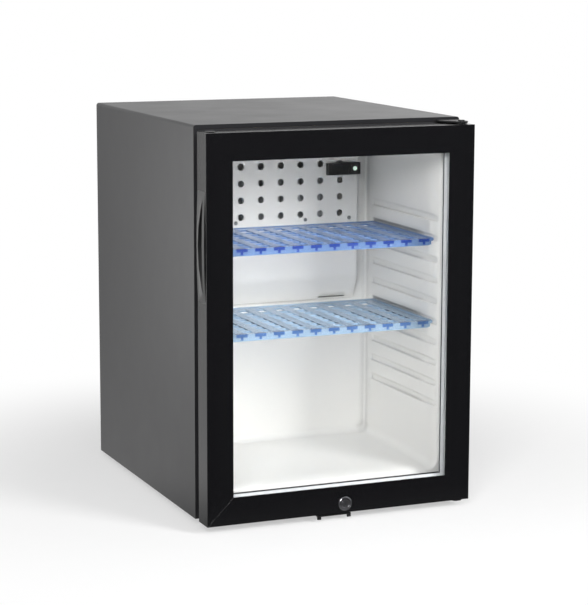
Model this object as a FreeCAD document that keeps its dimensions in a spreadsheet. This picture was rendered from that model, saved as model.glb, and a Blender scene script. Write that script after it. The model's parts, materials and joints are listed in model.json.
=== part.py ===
import FreeCAD, Part
import math
import os
import re
import Sketcher

# Glass door minibar fridge.
# X runs to the right as seen from the front, Y runs to the back, Z runs up.
# The origin is the middle of the footprint on the floor.
# Each sub-part is drawn with its own Y = 0 on the front face of the closed door,
# and its Placement carries it back to the middle of the footprint.

os.makedirs("parts", exist_ok=True)
doc = FreeCAD.newDocument("glass_door_minibar")
sheet = doc.addObject("Spreadsheet::Sheet", "Sizes")

# Driving dimensions in millimetres
SIZES = [
    ("width", 402, "outer width of the cabinet and the door"),
    ("depth", 480, "front face of the door to the rear edge of the casing"),
    ("height", 560, "floor to the top of the casing"),
    ("foot_height", 12, "floor to the underside of the bottom plate"),
    ("door_top_gap", 7.5, "top of the casing above the top of the door"),
    ("door_thickness", 34, "front to back of the door frame"),
    ("door_gap", 14, "door frame to the front of the cabinet, filled by the seal"),
    ("overrun", 2, "how far a cut runs past the solid"),
    ("seat_gap", 0.3, "clearance where one rigid piece sits in another"),
    ("slide_gap", 0.5, "clearance where one piece slides past another"),
    # Casing
    ("sheet_steel", 1, "steel sheet of the casing and the back panel"),
    ("casing_bend", 4, "outer radius of the two top bends of the casing"),
    ("hem", 6, "front edge of the casing folded inwards"),
    ("rear_return", 14, "rear edge of the casing folded inwards"),
    ("bottom_sheet", 1.2, "steel sheet of the bottom plate"),
    ("vent_slot_length", 60, "slot in the bottom plate below the cooling unit"),
    ("vent_slot_width", 7, "width of that slot"),
    ("vent_pitch", 18, "slot to slot"),
    ("vent_margin", 30, "rear edge of the bottom plate to the first slot"),
    # Cavity
    ("side_wall", 34, "casing side to the cavity wall"),
    ("floor_wall", 42, "underside of the bottom plate to the cavity floor"),
    ("top_wall", 48, "top of the casing to the cavity ceiling"),
    ("cavity_depth", 239, "front of the cabinet to the rear wall of the cavity"),
    ("rear_wall", 60, "rear wall of the cavity to the back of the insulation"),
    ("liner_wall", 2, "moulded inner liner"),
    ("mouth_roll", 8, "how much wider the mouth is than the cavity, each way"),
    ("roll_depth", 30, "depth over which the mouth rolls into the cavity"),
    ("cavity_corner", 12, "corner radius of the cavity"),
    # Shelf grooves
    ("groove_depth", 4, "how deep a groove is moulded into the wall"),
    ("groove_height", 9, "height of a groove"),
    ("groove_pitch", 30, "groove to groove"),
    ("lowest_groove", 129.5, "door bottom to the lower edge of the lowest groove"),
    ("groove_front", 5, "front of the cabinet to the front end of the grooves"),
    # Evaporator and its cover
    ("cover_width", 287, "width of the evaporator cover"),
    ("cover_stand", 21, "front of the cover to the rear wall of the cavity"),
    ("cover_sheet", 1.2, "plastic sheet of the cover"),
    ("cover_bottom", 256, "door bottom to the lower edge of the cover"),
    ("cover_slope", 35, "height of its sloped lower part"),
    ("cover_lip", 5, "depth of its lower lip"),
    ("hole_radius", 5, "round holes in the cover"),
    ("hole_pitch_across", 32, "hole to hole across"),
    ("hole_pitch_up", 25, "hole to hole up"),
    ("lowest_holes", 389, "door bottom to the lowest row of holes"),
    ("drip_slot_length", 45, "slot at the lower edge of the cover"),
    ("drip_slot_height", 5, "height of that slot"),
    ("drip_slot_x", 107, "middle of that slot from the middle plane"),
    ("cover_screw_height", 381, "door bottom to the screws of the cover"),
    ("cover_screw_inner", 56, "inner pair of screws from the middle plane"),
    ("cover_screw_outer", 128, "outer pair of screws from the middle plane"),
    ("cover_screw_radius", 3, "head of those screws"),
    ("cover_screw_head", 1.6, "height of that head"),
    ("lamp_width", 54, "housing of the small lamp on the cover"),
    ("lamp_height", 18, "its height"),
    ("lamp_depth", 7, "how far it stands off the cover"),
    ("lamp_bottom", 447, "door bottom to its lower edge"),
    ("lamp_rim", 2, "rim round its window"),
    ("lamp_lens_radius", 3.2, "round lens at its right end"),
    ("fin_block_width", 236, "finned block behind the cover"),
    ("fin_block_height", 80, "its height"),
    ("fin_base", 4, "base plate of the finned block"),
    ("fin_thickness", 1.6, "one fin"),
    ("fin_pitch", 11, "fin to fin"),
    ("fin_reach", 13, "how far a fin stands off the base"),
    ("fin_block_bottom", 374, "door bottom to the lower edge of the block"),
    ("feed_pipe_high", 440, "door bottom to the upper pipe"),
    ("feed_pipe_low", 400, "door bottom to the lower pipe"),
    ("feed_pipe_x", 108, "pipes from the middle plane"),
    # Shelves
    ("shelf_sheet", 2.5, "sheet of a shelf"),
    ("shelf_rim", 5, "height and width of the rim round a shelf"),
    ("shelf_face", 4, "underside of the rim to the top of the sheet"),
    ("shelf_side_gap", 1.5, "side of a shelf to the bottom of its groove"),
    ("shelf_front", 15, "front of the cabinet to the front edge of a shelf"),
    ("shelf_cover_gap", 2, "rear edge of a shelf to the plane of the evaporator cover"),
    ("shelf_lip", 10, "turned down front lip of a shelf"),
    ("shelf_round", 2, "rounding of its front edge"),
    ("slot_width", 14, "long openings of a shelf, from front to back"),
    ("slot_pitch", 28, "opening to opening"),
    ("slot_front", 9, "front edge of a shelf to its openings"),
    ("slot_back", 180, "front edge of a shelf to the end of its openings"),
    ("mark_width", 3.6, "short slots at the front edge between the openings, and their stems"),
    ("mark_front", 3.2, "front edge of a shelf to those slots"),
    ("cross_bar_first", 28, "front edge of a shelf to its first cross bar"),
    ("cross_bar_pitch", 21.6, "cross bar to cross bar"),
    ("cross_bar_width", 6, "width of a cross bar"),
    ("cross_bar_height", 2, "height of a cross bar below the sheet"),
    ("stem_height", 5, "short slot in the front lip below each front slot"),
    # Door frame
    ("frame_face", 38.5, "visible width of the door frame"),
    ("profile_wall", 1.8, "wall of the frame profile"),
    ("profile_front", 2, "front and rear wall of the frame profile"),
    ("chamber", 28, "outer edge to the glass side of the hollow chamber"),
    ("back_fin", 30, "outer edge to the end of the rear wall"),
    ("back_fin_bottom", 34.5, "the same on the bottom profile, which is wider behind"),
    ("pane", 4, "one glass pane"),
    ("pane_gap", 9, "between the panes"),
    ("spacer_face", 6.5, "width of the spacer bar"),
    ("retainer_bevel", 8, "how far the retainer falls back towards the seal"),
    ("seal_inset", 12, "outer edge of the door to the seal"),
    ("seal_inset_bottom", 20, "the same along the bottom"),
    ("seal_width", 13, "width of the seal"),
    ("seal_foot", 3, "depth of the foot of the seal"),
    ("seal_neck", 5, "how much narrower its soft middle is"),
    ("key_arm", 52, "arm of a corner key from the outer edge"),
    # Finger grips in the side of the door
    ("grip_height", 386, "door bottom to the middle of the grips"),
    ("grip_length", 152, "length of a grip insert"),
    ("grip_bulge", 2, "how far it stands out of the side of the door"),
    ("grip_margin", 4, "front of the door to the insert"),
    ("grip_rear", 1, "rear of the door to the insert"),
    ("grip_body", 16, "depth of the insert in the stile"),
    ("grip_slot", 128, "length of the finger recess"),
    ("grip_slot_width", 15, "width of the finger recess at its middle"),
    ("grip_slot_front", 13, "front face of the door to the recess"),
    ("grip_floor", 2.5, "thickness behind the recess"),
    # Hinges
    ("pivot_inset", 12.5, "side of the door to the hinge axis"),
    ("pin_radius", 3, "hinge pin"),
    ("pin_play", 0.05, "radial clearance of the pin in its bush"),
    ("bush_radius", 5, "outside of the bush"),
    ("bush_length", 17, "bush in the door"),
    ("bush_flange", 1.2, "flange of the bush"),
    ("bush_flange_radius", 7.5, "radius of that flange"),
    ("bracket_sheet", 2.5, "steel of the hinge brackets"),
    ("bracket_width", 34, "width of a hinge bracket"),
    ("bracket_nose", 9, "radius of its nose round the pin"),
    ("bracket_leaf", 13, "height of its upright leaf"),
    ("bracket_side", 3, "side of the cabinet to the bracket"),
    ("pin_head", 4.5, "radius of the pin's head"),
    ("pin_head_height", 1.5, "height of the pin's head"),
    ("hinge_screw_radius", 3.5, "head of a hinge screw"),
    ("hinge_screw_head", 1.5, "height of that head"),
    ("hinge_screw_pitch", 16, "screw to screw"),
    ("plug_radius", 5, "plug in an unused hinge hole"),
    # Lock
    ("lock_height", 13.3, "door bottom to the lock axis"),
    ("lock_offset", 5, "lock axis to the right of the middle plane"),
    ("lock_face_radius", 10.5, "face of the lock"),
    ("lock_proud", 3, "how far the face stands out of the door"),
    ("lock_body_radius", 8, "body of the lock"),
    ("lock_plug_radius", 5.5, "turning plug"),
    ("lock_play", 0.05, "radial clearance of the plug"),
    ("lock_nut_flats", 19, "across the flats of the lock nut"),
    ("lock_nut_height", 3.5, "height of the lock nut"),
    ("lock_shaft_radius", 3.5, "shaft behind the plug"),
    ("key_slot_length", 6, "slot for the key"),
    ("key_slot_width", 1.4, "width of that slot"),
    ("key_slot_depth", 4, "depth of that slot"),
    ("cam_length", 22, "lock axis to the tip of the cam"),
    ("cam_width", 8, "width of the cam"),
    ("cam_sheet", 2, "thickness of the cam"),
    ("cam_stand", 1, "rear of the door frame to the cam"),
    ("cam_screw_radius", 3, "head of the cam screw"),
    ("cam_screw_head", 1.8, "height of that head"),
    # Keeper below the door
    ("keeper_sheet", 2, "steel of the keeper"),
    ("keeper_width", 51, "width of the keeper"),
    ("keeper_offset", 9, "middle of the keeper to the left of the middle plane"),
    ("keeper_drop", 2, "door bottom to the top of the keeper"),
    ("keeper_front", 4, "front face of the door to the keeper"),
    ("keeper_arm", 5.5, "arm beside the window of the keeper"),
    ("keeper_bar", 20, "front bar of the keeper"),
    ("keeper_seat", 34, "part of the keeper below the cabinet"),
    ("keeper_prong", 4, "how far its front corners are turned down"),
    ("keeper_screw_radius", 3.2, "head of a keeper screw"),
    ("keeper_screw_head", 1.5, "height of that head"),
    ("keeper_screw_pitch", 28, "screw to screw"),
    # Feet
    ("foot_radius", 15, "rubber foot at the top"),
    ("foot_taper", 2, "how much smaller it is at the floor"),
    ("foot_inset_side", 34, "side of the cabinet to the foot axis"),
    ("foot_inset_end", 34, "front or rear edge of the bottom plate to the foot axis"),
    ("foot_recess", 5, "radius of the recess for the screw"),
    ("foot_recess_depth", 7, "depth of that recess"),
    ("foot_screw_radius", 4, "head of a foot screw"),
    ("foot_screw_head", 2, "height of that head"),
    # Cooling unit in the rear bay
    ("boiler_width", 66, "insulated can of the boiler"),
    ("boiler_depth", 70, "its depth"),
    ("boiler_height", 230, "its height"),
    ("boiler_round", 12, "its upright corners"),
    ("boiler_x", 118, "its axis to the left of the middle plane"),
    ("boiler_base", 60, "floor to the boiler can"),
    ("unit_axis", 60, "back panel to the plane of the pipes"),
    ("cradle_sheet", 2, "steel of the cradle"),
    ("cradle_leaf", 40, "height of the leaf of the cradle on the back panel"),
    ("vessel_radius", 26, "absorber vessel"),
    ("vessel_length", 170, "its length between the domes"),
    ("vessel_dome", 12, "height of a dome"),
    ("vessel_x", 66, "its middle to the right of the middle plane"),
    ("pipe_radius", 7, "pipes of the cooling unit"),
    ("pipe_bend", 20, "bend radius of those pipes at the axis"),
    ("coil_radius", 9, "absorber coil"),
    ("coil_pitch", 58, "run to run of the absorber coil"),
    ("coil_left", 40, "left bends of the coil from the middle plane"),
    ("coil_right", 132, "right bends of the coil from the middle plane"),
    ("coil_rise", 46, "vessel to the lowest run of the coil"),
    ("thin_pipe_radius", 4, "thin pipe from the boiler to the coil"),
    ("condenser_height", 500, "floor to the condenser axis"),
    ("condenser_left", 100, "left end of the fins from the middle plane"),
    ("plate_pitch", 16, "fin to fin on the condenser"),
    ("plate_width", 56, "width of a condenser fin"),
    ("plate_height", 46, "height of a condenser fin"),
    ("plate_thickness", 1, "one condenser fin"),
    ("pipe_fit", 0.1, "radial clearance of a fin on its pipe"),
    ("box_width", 62, "terminal box for the mains"),
    ("box_height", 78, "its height"),
    ("box_depth", 34, "its depth"),
    ("box_x", 136, "its middle to the left of the middle plane"),
    ("box_base", 330, "floor to the terminal box"),
    ("box_round", 4, "its edges"),
    ("gland_radius", 8, "cable gland below the box"),
    ("gland_neck", 6.5, "radius of its barrel"),
    ("gland_bore", 4, "bore of the gland"),
    ("gland_length", 12, "length of the gland"),
    ("strut_height", 26, "strut across the rear edge of the casing"),
    ("strut_flange", 12, "folded edge of the strut"),
    ("strut_low", 120, "floor to the lower strut"),
    ("strut_high", 400, "floor to the upper strut"),
    ("drain_x", 84, "drain pipe to the left of the middle plane"),
    ("drain_radius", 5, "drain pipe from the drip gutter"),
    ("drain_bore", 3.5, "bore of the drain pipe"),
    ("gutter_height", 10, "drip gutter below the finned block"),
    ("gutter_depth", 16, "its depth"),
    ("gutter_sheet", 1.2, "its sheet"),
    ("gutter_bottom", 350, "door bottom to the gutter"),
]

# Counts
GROOVES = 10
UPPER_SHELF_GROOVE = 8
LOWER_SHELF_GROOVE = 4
HOLE_COLUMNS = 8
HOLE_ROWS = 4
OPENINGS = 11
FRONT_MARKS = 12
CROSS_BARS = 7
FINS = 21
PLATES = 11
VENT_SLOTS = 5

# Places worked out from the driving dimensions
DERIVED = {
    "front_y": "lock_proud / 2 - (depth + hinge_screw_head) / 2",
    "half": "width / 2",
    "door_bottom": "foot_height",
    "door_top": "height - door_top_gap",
    "door_height": "door_top - door_bottom",
    "door_middle": "(door_top + door_bottom) / 2",
    "cabinet_front": "door_thickness + door_gap",
    "cavity_half": "half - side_wall",
    "cavity_floor": "foot_height + floor_wall",
    "cavity_top": "height - top_wall",
    "cavity_back": "cabinet_front + cavity_depth",
    "roll_end": "cabinet_front + roll_depth",
    "foam_front": "cabinet_front + liner_wall",
    "foam_back": "cavity_back + rear_wall",
    "panel_back": "foam_back + sheet_steel",
    "foam_half": "half - sheet_steel",
    "foam_bottom": "foot_height + bottom_sheet",
    "foam_top": "height - sheet_steel",
    "flange_half": "half - hem - seat_gap",
    "flange_bottom": "foot_height + hem + seat_gap",
    "flange_top": "height - hem - seat_gap",
    "cover_front": "cavity_back - cover_stand",
    "cover_half": "cover_width / 2",
    "cover_low": "door_bottom + cover_bottom",
    "cover_high": "cavity_top - seat_gap",
    "cover_bend": "cover_low + cover_slope",
    "groove_half": "cavity_half + groove_depth",
    "shelf_half": "groove_half - shelf_side_gap",
    "lip_half": "cavity_half - shelf_side_gap",
    "groove_start": "cabinet_front + groove_front",
    "shelf_start": "cabinet_front + shelf_front",
    "shelf_end": "cover_front - shelf_cover_gap",
    "groove_end": "shelf_end + slide_gap",
    "first_groove": "door_bottom + lowest_groove",
    "pane_front": "profile_front",
    "pane_half": "half - chamber - seat_gap",
    "pane_low": "door_bottom + chamber + seat_gap",
    "pane_high": "door_top - chamber - seat_gap",
    "gap_front": "pane_front + pane",
    "inner_pane_front": "gap_front + pane_gap",
    "retainer_front": "inner_pane_front + pane",
    "retainer_back": "door_thickness - profile_front",
    "opening_half": "half - frame_face",
    "opening_low": "door_bottom + frame_face",
    "opening_high": "door_top - frame_face",
    "seal_back": "cabinet_front - seat_gap",
    "pivot_x": "half - pivot_inset",
    "pivot_y": "door_thickness / 2",
    "bracket_x_low": "half - bracket_side - bracket_width",
    "bracket_x_high": "half - bracket_side",
    "leaf_near": "bush_flange + seat_gap",
    "leaf_far": "leaf_near + bracket_sheet",
    "grip_middle": "door_bottom + grip_height",
    "lock_z": "door_bottom + lock_height",
    "cam_front": "door_thickness + cam_stand",
    "keeper_top": "door_bottom - keeper_drop",
    "keeper_bottom": "keeper_top - keeper_sheet",
    "window_front": "keeper_front + keeper_bar",
    "window_back": "cabinet_front - 2 * keeper_drop",
    "pipe_plane": "panel_back + unit_axis",
    "vessel_z": "boiler_base + vessel_radius * cos(11.25)",
    "feed_high": "door_bottom + feed_pipe_high",
    "feed_low": "door_bottom + feed_pipe_low",
    "gutter_z": "door_bottom + gutter_bottom",
    "coil_low": "vessel_z + vessel_radius + coil_rise",
    "coil_top": "coil_low + coil_pitch * 3",
}

# Hand chosen shares of the mouth roll: depth of each section
ROLL_SHARES = [0, 0.12, 0.45, 1]

for row, (alias, size, note) in enumerate(SIZES, 1):
    sheet.set("A%d" % row, note)
    sheet.set("B%d" % row, str(size))
    sheet.setAlias("B%d" % row, alias)
doc.recompute()

NAMES = {alias for alias, size, note in SIZES}
MATCH = 1e-4
PLANES = {"XY": ("XY_Plane", 1), "XZ": ("XZ_Plane", -1), "YZ": ("YZ_Plane", 1)}


def formula(text):
    """Write a size's plain name as its cell, and a derived name as its own formula."""
    def swap(match):
        word = match.group(0)
        if word in DERIVED:
            return "(" + formula(DERIVED[word]) + ")"
        return "Sizes." + word if word in NAMES else word
    return re.sub(r"[A-Za-z_]\w*", swap, text)


def value(text):
    """The present value of a formula, in millimetres."""
    result = sheet.evalExpression(formula(text))
    return float(getattr(result, "Value", result))


# Outlines: each returns a function that draws itself in a sketch
def hold(sketch, kind, geometry, point, text):
    """Tie one coordinate of a point to a formula."""
    number = sketch.addConstraint(Sketcher.Constraint(kind, -1, 1, geometry, point, value(text)))
    sketch.setExpression("Constraints[%d]" % number, formula(text))


def polygon(points):
    """Closed outline of straight lines through the given pairs of formulas."""
    def draw(sketch):
        first = sketch.GeometryCount
        count = len(points)
        spots = [FreeCAD.Vector(value(u), value(v), 0) for u, v in points]
        for i in range(count):
            sketch.addGeometry(Part.LineSegment(spots[i], spots[(i + 1) % count]), False)
        for i in range(count):
            follower = first + (i + 1) % count
            sketch.addConstraint(Sketcher.Constraint("Coincident", first + i, 2, follower, 1))
        for i, (u, v) in enumerate(points):
            hold(sketch, "DistanceX", first + i, 1, u)
            hold(sketch, "DistanceY", first + i, 1, v)
    return draw


def rectangle(u_low, v_low, u_high, v_high):
    """Closed rectangle between two corners."""
    return polygon([(u_low, v_low), (u_high, v_low), (u_high, v_high), (u_low, v_high)])


def disc(u, v, radius):
    """Circle about a point."""
    def draw(sketch):
        centre = FreeCAD.Vector(value(u), value(v), 0)
        axis = FreeCAD.Vector(0, 0, 1)
        number = sketch.addGeometry(Part.Circle(centre, axis, value(radius)), False)
        hold(sketch, "DistanceX", number, 3, u)
        hold(sketch, "DistanceY", number, 3, v)
        size = sketch.addConstraint(Sketcher.Constraint("Radius", number, value(radius)))
        sketch.setExpression("Constraints[%d]" % size, formula(radius))
    return draw


def ngon(u, v, radius, sides):
    """Regular outline with its corners on a circle and a flat towards each axis."""
    points = []
    for i in range(sides):
        angle = 360 * (i + 0.5) / sides
        points.append(("(%s) + (%s) * cos(%s)" % (u, radius, angle),
                       "(%s) + (%s) * sin(%s)" % (v, radius, angle)))
    return polygon(points)


def rounded(u_low, v_low, u_high, v_high, radius):
    """Rectangle between two corners, with four round corners."""
    def draw(sketch):
        first = sketch.GeometryCount
        a, b, c, d = value(u_low), value(v_low), value(u_high), value(v_high)
        r = value(radius)
        axis = FreeCAD.Vector(0, 0, 1)
        lines = [((a + r, b), (c - r, b)), ((c, b + r), (c, d - r)),
                 ((c - r, d), (a + r, d)), ((a, d - r), (a, b + r))]
        for start, end in lines:
            sketch.addGeometry(Part.LineSegment(FreeCAD.Vector(*start, 0), FreeCAD.Vector(*end, 0)), False)
        corners = [(c - r, b + r, 1.5), (c - r, d - r, 0), (a + r, d - r, 0.5), (a + r, b + r, 1)]
        for u, v, turn in corners:
            circle = Part.Circle(FreeCAD.Vector(u, v, 0), axis, r)
            arc = Part.ArcOfCircle(circle, turn * math.pi, (turn + 0.5) * math.pi)
            sketch.addGeometry(arc, False)
        for i in range(4):
            arc = first + 4 + i
            sketch.addConstraint(Sketcher.Constraint("Tangent", first + i, 2, arc, 1))
            sketch.addConstraint(Sketcher.Constraint("Tangent", arc, 2, first + (i + 1) % 4, 1))
        for i, kind in enumerate(["Horizontal", "Vertical", "Horizontal", "Vertical"]):
            sketch.addConstraint(Sketcher.Constraint(kind, first + i))
        for i in range(3):
            sketch.addConstraint(Sketcher.Constraint("Equal", first + 4 + i, first + 5 + i))
        size = sketch.addConstraint(Sketcher.Constraint("Radius", first + 4, r))
        sketch.setExpression("Constraints[%d]" % size, formula(radius))
        hold(sketch, "DistanceY", first, 1, v_low)
        hold(sketch, "DistanceX", first + 1, 1, u_high)
        hold(sketch, "DistanceY", first + 2, 1, v_high)
        hold(sketch, "DistanceX", first + 3, 1, u_low)
    return draw


# Bodies and features
def new_body(label, x="0", y="front_y", z="0", turn=None):
    """A named body whose Placement is tied to formulas."""
    body = doc.addObject("PartDesign::Body", label)
    body.Label = label
    if turn is not None:
        body.Placement.Rotation = FreeCAD.Rotation(FreeCAD.Vector(*turn[0]), turn[1])
    for axis, text in (("x", x), ("y", y), ("z", z)):
        body.setExpression("Placement.Base." + axis, formula(text))
    return body


def new_sketch(body, name, plane, offset, outlines):
    """A sketch at an offset from one origin plane of its own body."""
    sketch = body.newObject("Sketcher::SketchObject", name)
    role, sign = PLANES[plane]
    for feature in body.Origin.OriginFeatures:
        if feature.Role == role:
            sketch.AttachmentSupport = (feature, "")
    sketch.MapMode = "FlatFace"
    signed = offset if sign > 0 else "-(%s)" % offset
    sketch.setExpression("AttachmentOffset.Base.z", formula(signed))
    for draw in outlines:
        draw(sketch)
    return sketch


def add(body, name, plane, low, high, *outlines):
    """Pad the outlines from low to high along the plane's axis."""
    sketch = new_sketch(body, name + "_sketch", plane, low, outlines)
    pad = body.newObject("PartDesign::Pad", name)
    pad.Profile = sketch
    pad.setExpression("Length", formula("(%s) - (%s)" % (high, low)))
    pad.Reversed = PLANES[plane][1] < 0
    sketch.Visibility = False
    return pad


def cut(body, name, plane, low, high, *outlines):
    """Take the outlines out from low to high along the plane's axis."""
    doc.recompute()
    before = body.Shape.Volume
    sketch = new_sketch(body, name + "_sketch", plane, low, outlines)
    pocket = body.newObject("PartDesign::Pocket", name)
    pocket.Profile = sketch
    pocket.setExpression("Length", formula("(%s) - (%s)" % (high, low)))
    pocket.Reversed = PLANES[plane][1] > 0
    sketch.Visibility = False
    doc.recompute()
    if body.Shape.Volume >= before:
        raise ValueError(name + " cuts nothing")
    return pocket


def repeat(body, feature, name, axis, step, count):
    """Repeat a feature count times along an axis of its own sketch."""
    pattern = body.newObject("PartDesign::LinearPattern", name)
    pattern.Originals = [feature]
    pattern.Direction = (feature.Profile[0], [axis])
    pattern.setExpression("Length", formula("(%s) * %d" % (step, count - 1)))
    pattern.Occurrences = count
    body.Tip = pattern
    return pattern


def loft(body, name, kind, plane, sections):
    """Ruled loft through sections; each is a place along the plane's axis and an outline."""
    sketches = []
    for i, (place, outline) in enumerate(sections):
        sketches.append(new_sketch(body, "%s_section_%d" % (name, i), plane, place, [outline]))
    feature = body.newObject("PartDesign::" + kind, name)
    feature.Profile = sketches[0]
    feature.Sections = sketches[1:]
    feature.Ruled = True
    for sketch in sketches:
        sketch.Visibility = False
    return feature


def soften(body, name, kind, size, chosen):
    """Fillet or chamfer the edges of the body's tip that chosen picks."""
    doc.recompute()
    tip = body.Tip
    picked = ["Edge%d" % (i + 1) for i, edge in enumerate(tip.Shape.Edges) if chosen(edge)]
    feature = body.newObject("PartDesign::" + kind, name)
    feature.Base = (tip, picked)
    feature.setExpression("Radius" if kind == "Fillet" else "Size", formula(size))
    return feature


def along(edge, axis):
    """True for a straight edge that runs along the given axis."""
    if edge.Curve.TypeId != "Part::GeomLine":
        return False
    others = [i for i in range(3) if i != "xyz".index(axis)]
    direction = edge.Curve.Direction
    return all(abs(direction[i]) < MATCH for i in others)


def at(edge, axis, text):
    """True for an edge whose middle has this coordinate."""
    return abs(edge.BoundBox.Center["xyz".index(axis)] - value(text)) < MATCH


def turned(label, axis_point, profile, axis="Y", **place):
    """A body of revolution; the profile's pairs are (along the axis, radius)."""
    body = new_body(label, **place)
    revolve(body, label + "_turning", axis_point, profile, axis)
    return body


def revolve(body, name, axis_point, profile, axis):
    """Turn a profile about a line along Y or Z through the given point of the body."""
    x, other = axis_point
    points = [("(%s) + %s" % (x, r), s) for s, r in profile]
    plane = "XY" if axis == "Y" else "XZ"
    sketch = new_sketch(body, name + "_sketch", plane, other, [polygon(points)])
    line = sketch.addGeometry(Part.LineSegment(FreeCAD.Vector(value(x), 0, 0),
                                               FreeCAD.Vector(value(x), value("width"), 0)), True)
    sketch.addConstraint(Sketcher.Constraint("Vertical", line))
    hold(sketch, "DistanceX", line, 1, x)
    hold(sketch, "DistanceY", line, 1, "0")
    hold(sketch, "DistanceY", line, 2, "width")
    feature = body.newObject("PartDesign::Revolution", name)
    feature.Profile = sketch
    feature.ReferenceAxis = (sketch, ["Axis0"])
    feature.Angle = 360
    sketch.Visibility = False
    return feature


def pipe(label, points, radius, bend, sides=8, chords=4):
    """A bent tube along straight runs; its section has flats, and each bend is a few mitred chords."""
    spots = [FreeCAD.Vector(*(value(text) for text in point)) for point in points]
    r = value(bend)
    path = [spots[0]]
    for before, corner, after in zip(spots, spots[1:], spots[2:]):
        inward = (before - corner).normalize()
        outward = (after - corner).normalize()
        half_turn = (math.pi - inward.getAngle(outward)) / 2
        centre = corner + (inward + outward).normalize() * (r / math.cos(half_turn))
        arm = corner + inward * (r * math.tan(half_turn)) - centre
        ahead = -inward * r
        for i in range(chords + 1):
            turn = 2 * half_turn * i / chords
            path.append(centre + arm * math.cos(turn) + ahead * math.sin(turn))
    path.append(spots[-1])
    ahead = (spots[1] - spots[0]).normalize()
    aside = FreeCAD.Vector(1, 0, 0) if abs(ahead.x) < MATCH else FreeCAD.Vector(0, 1, 0)
    upright = ahead.cross(aside)
    corners = []
    for i in range(sides):
        angle = 2 * math.pi * (i + 0.5) / sides
        corners.append(spots[0] + (aside * math.cos(angle) + upright * math.sin(angle)) * value(radius))
    ring = Part.makePolygon(corners + corners[:1])
    feature = doc.addObject("Part::Feature", label)
    feature.Label = label
    feature.Shape = Part.makePolygon(path).makePipeShell([ring], True, False, 1)
    feature.setExpression("Placement.Base.y", formula("front_y"))
    length = sum((b - a).Length for a, b in zip(path, path[1:]))
    section = sides / 2 * value(radius) ** 2 * math.sin(2 * math.pi / sides)
    print("%s volume over section times length: %.4f" % (label, feature.Shape.Volume / (section * length)))
    return feature


# Casing: one steel wrap over both sides and the top, hemmed in front, returned behind
def outer_casing():
    body = new_body("outer_casing")
    add(body, "wrap", "XZ", "cabinet_front", "depth",
        polygon([("-half", "foot_height"), ("-half", "height"), ("half", "height"),
                 ("half", "foot_height"), ("half - sheet_steel", "foot_height"),
                 ("half - sheet_steel", "height - sheet_steel"),
                 ("sheet_steel - half", "height - sheet_steel"),
                 ("sheet_steel - half", "foot_height")]))
    edge_rings = (("hem", "cabinet_front", "cabinet_front + sheet_steel", "hem"),
                  ("rear_edge", "depth - sheet_steel", "depth", "rear_return"))
    for name, low, high, reach in edge_rings:
        inner = "half - " + reach
        add(body, name, "XZ", low, high,
            polygon([("-half", "foot_height"), ("-half", "height"), ("half", "height"),
                     ("half", "foot_height"), (inner, "foot_height"), (inner, "height - " + reach),
                     ("-(%s)" % inner, "height - " + reach), ("-(%s)" % inner, "foot_height")]))
    for name, radius, z in (("inner_bends", "casing_bend - sheet_steel", "height - sheet_steel"),
                            ("outer_bends", "casing_bend", "height")):
        soften(body, name, "Fillet", radius,
               lambda e: along(e, "y") and at(e, "z", z) and e.Length > value("hem"))
    return body


# Bottom plate: front and rear edges turned up, vent slots below the cooling unit
def bottom_plate():
    body = new_body("bottom_plate")
    side = "foam_half - seat_gap"
    nose = "half - hem - seat_gap"
    front = "cabinet_front + sheet_steel + seat_gap"
    rear = "depth - sheet_steel - seat_gap"
    add(body, "floor_sheet", "XY", "foot_height", "foot_height + bottom_sheet",
        polygon([("-(%s)" % side, rear), ("-(%s)" % side, front), ("-(%s)" % nose, front),
                 ("-(%s)" % nose, "cabinet_front"), (nose, "cabinet_front"), (nose, front),
                 (side, front), (side, rear)]))
    add(body, "front_edge", "XZ", "cabinet_front", "cabinet_front + bottom_sheet",
        rectangle("-(%s)" % nose, "foot_height", nose, "foot_height + hem"))
    add(body, "rear_edge", "XZ", rear + " - bottom_sheet", rear,
        rectangle("-(%s)" % side, "foot_height", side, "foot_height + rear_return"))
    first = "depth - vent_margin"
    for name, middle in (("left_vents", "-half / 2"), ("right_vents", "half / 2")):
        slot = cut(body, name, "XY", "foot_height - overrun", "foot_height + bottom_sheet + overrun",
                   rectangle("%s - vent_slot_length / 2" % middle, first + " - vent_slot_width",
                             "%s + vent_slot_length / 2" % middle, first))
        pattern = repeat(body, slot, name + "_row", "V_Axis", "vent_pitch", VENT_SLOTS)
        pattern.Reversed = True
    return body


def mouth(extra, grow="mouth_roll"):
    """Outline of the cavity's section, widened by grow and by extra."""
    more = "(%s) + (%s)" % (grow, extra)
    return rounded("-(cavity_half + %s)" % more, "cavity_floor - (%s)" % more,
                   "cavity_half + %s" % more, "cavity_top + %s" % more, "cavity_corner")


# Moulded liner: flange, mouth that rolls in, tub and shelf grooves
def inner_liner():
    body = new_body("inner_liner")
    add(body, "flange", "XZ", "cabinet_front", "foam_front",
        rectangle("-flange_half", "flange_bottom", "flange_half", "flange_top"))
    loft(body, "tub_front", "AdditiveLoft", "XZ",
         [("foam_front", mouth("liner_wall")), ("roll_end", mouth("liner_wall", "0"))])
    add(body, "tub", "XZ", "roll_end", "cavity_back + liner_wall", mouth("liner_wall", "0"))
    shelf_grooves(body, "groove_shells", "liner_wall")
    cut(body, "tub_hollow", "XZ", "roll_end", "cavity_back", mouth("0", "0"))
    sections = []
    for share in ROLL_SHARES:
        swell = 1 - math.sqrt(1 - (1 - share) ** 2)
        depth = "cabinet_front + roll_depth * %s" % share
        sections.append((depth, mouth("0", "mouth_roll * %.4f" % swell)))
    loft(body, "mouth_hollow", "SubtractiveLoft", "XZ", sections)
    feed_holes(body, "cavity_back - overrun", "cavity_back + liner_wall + overrun")
    shelf_grooves(body, "grooves", "0")
    return body


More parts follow.
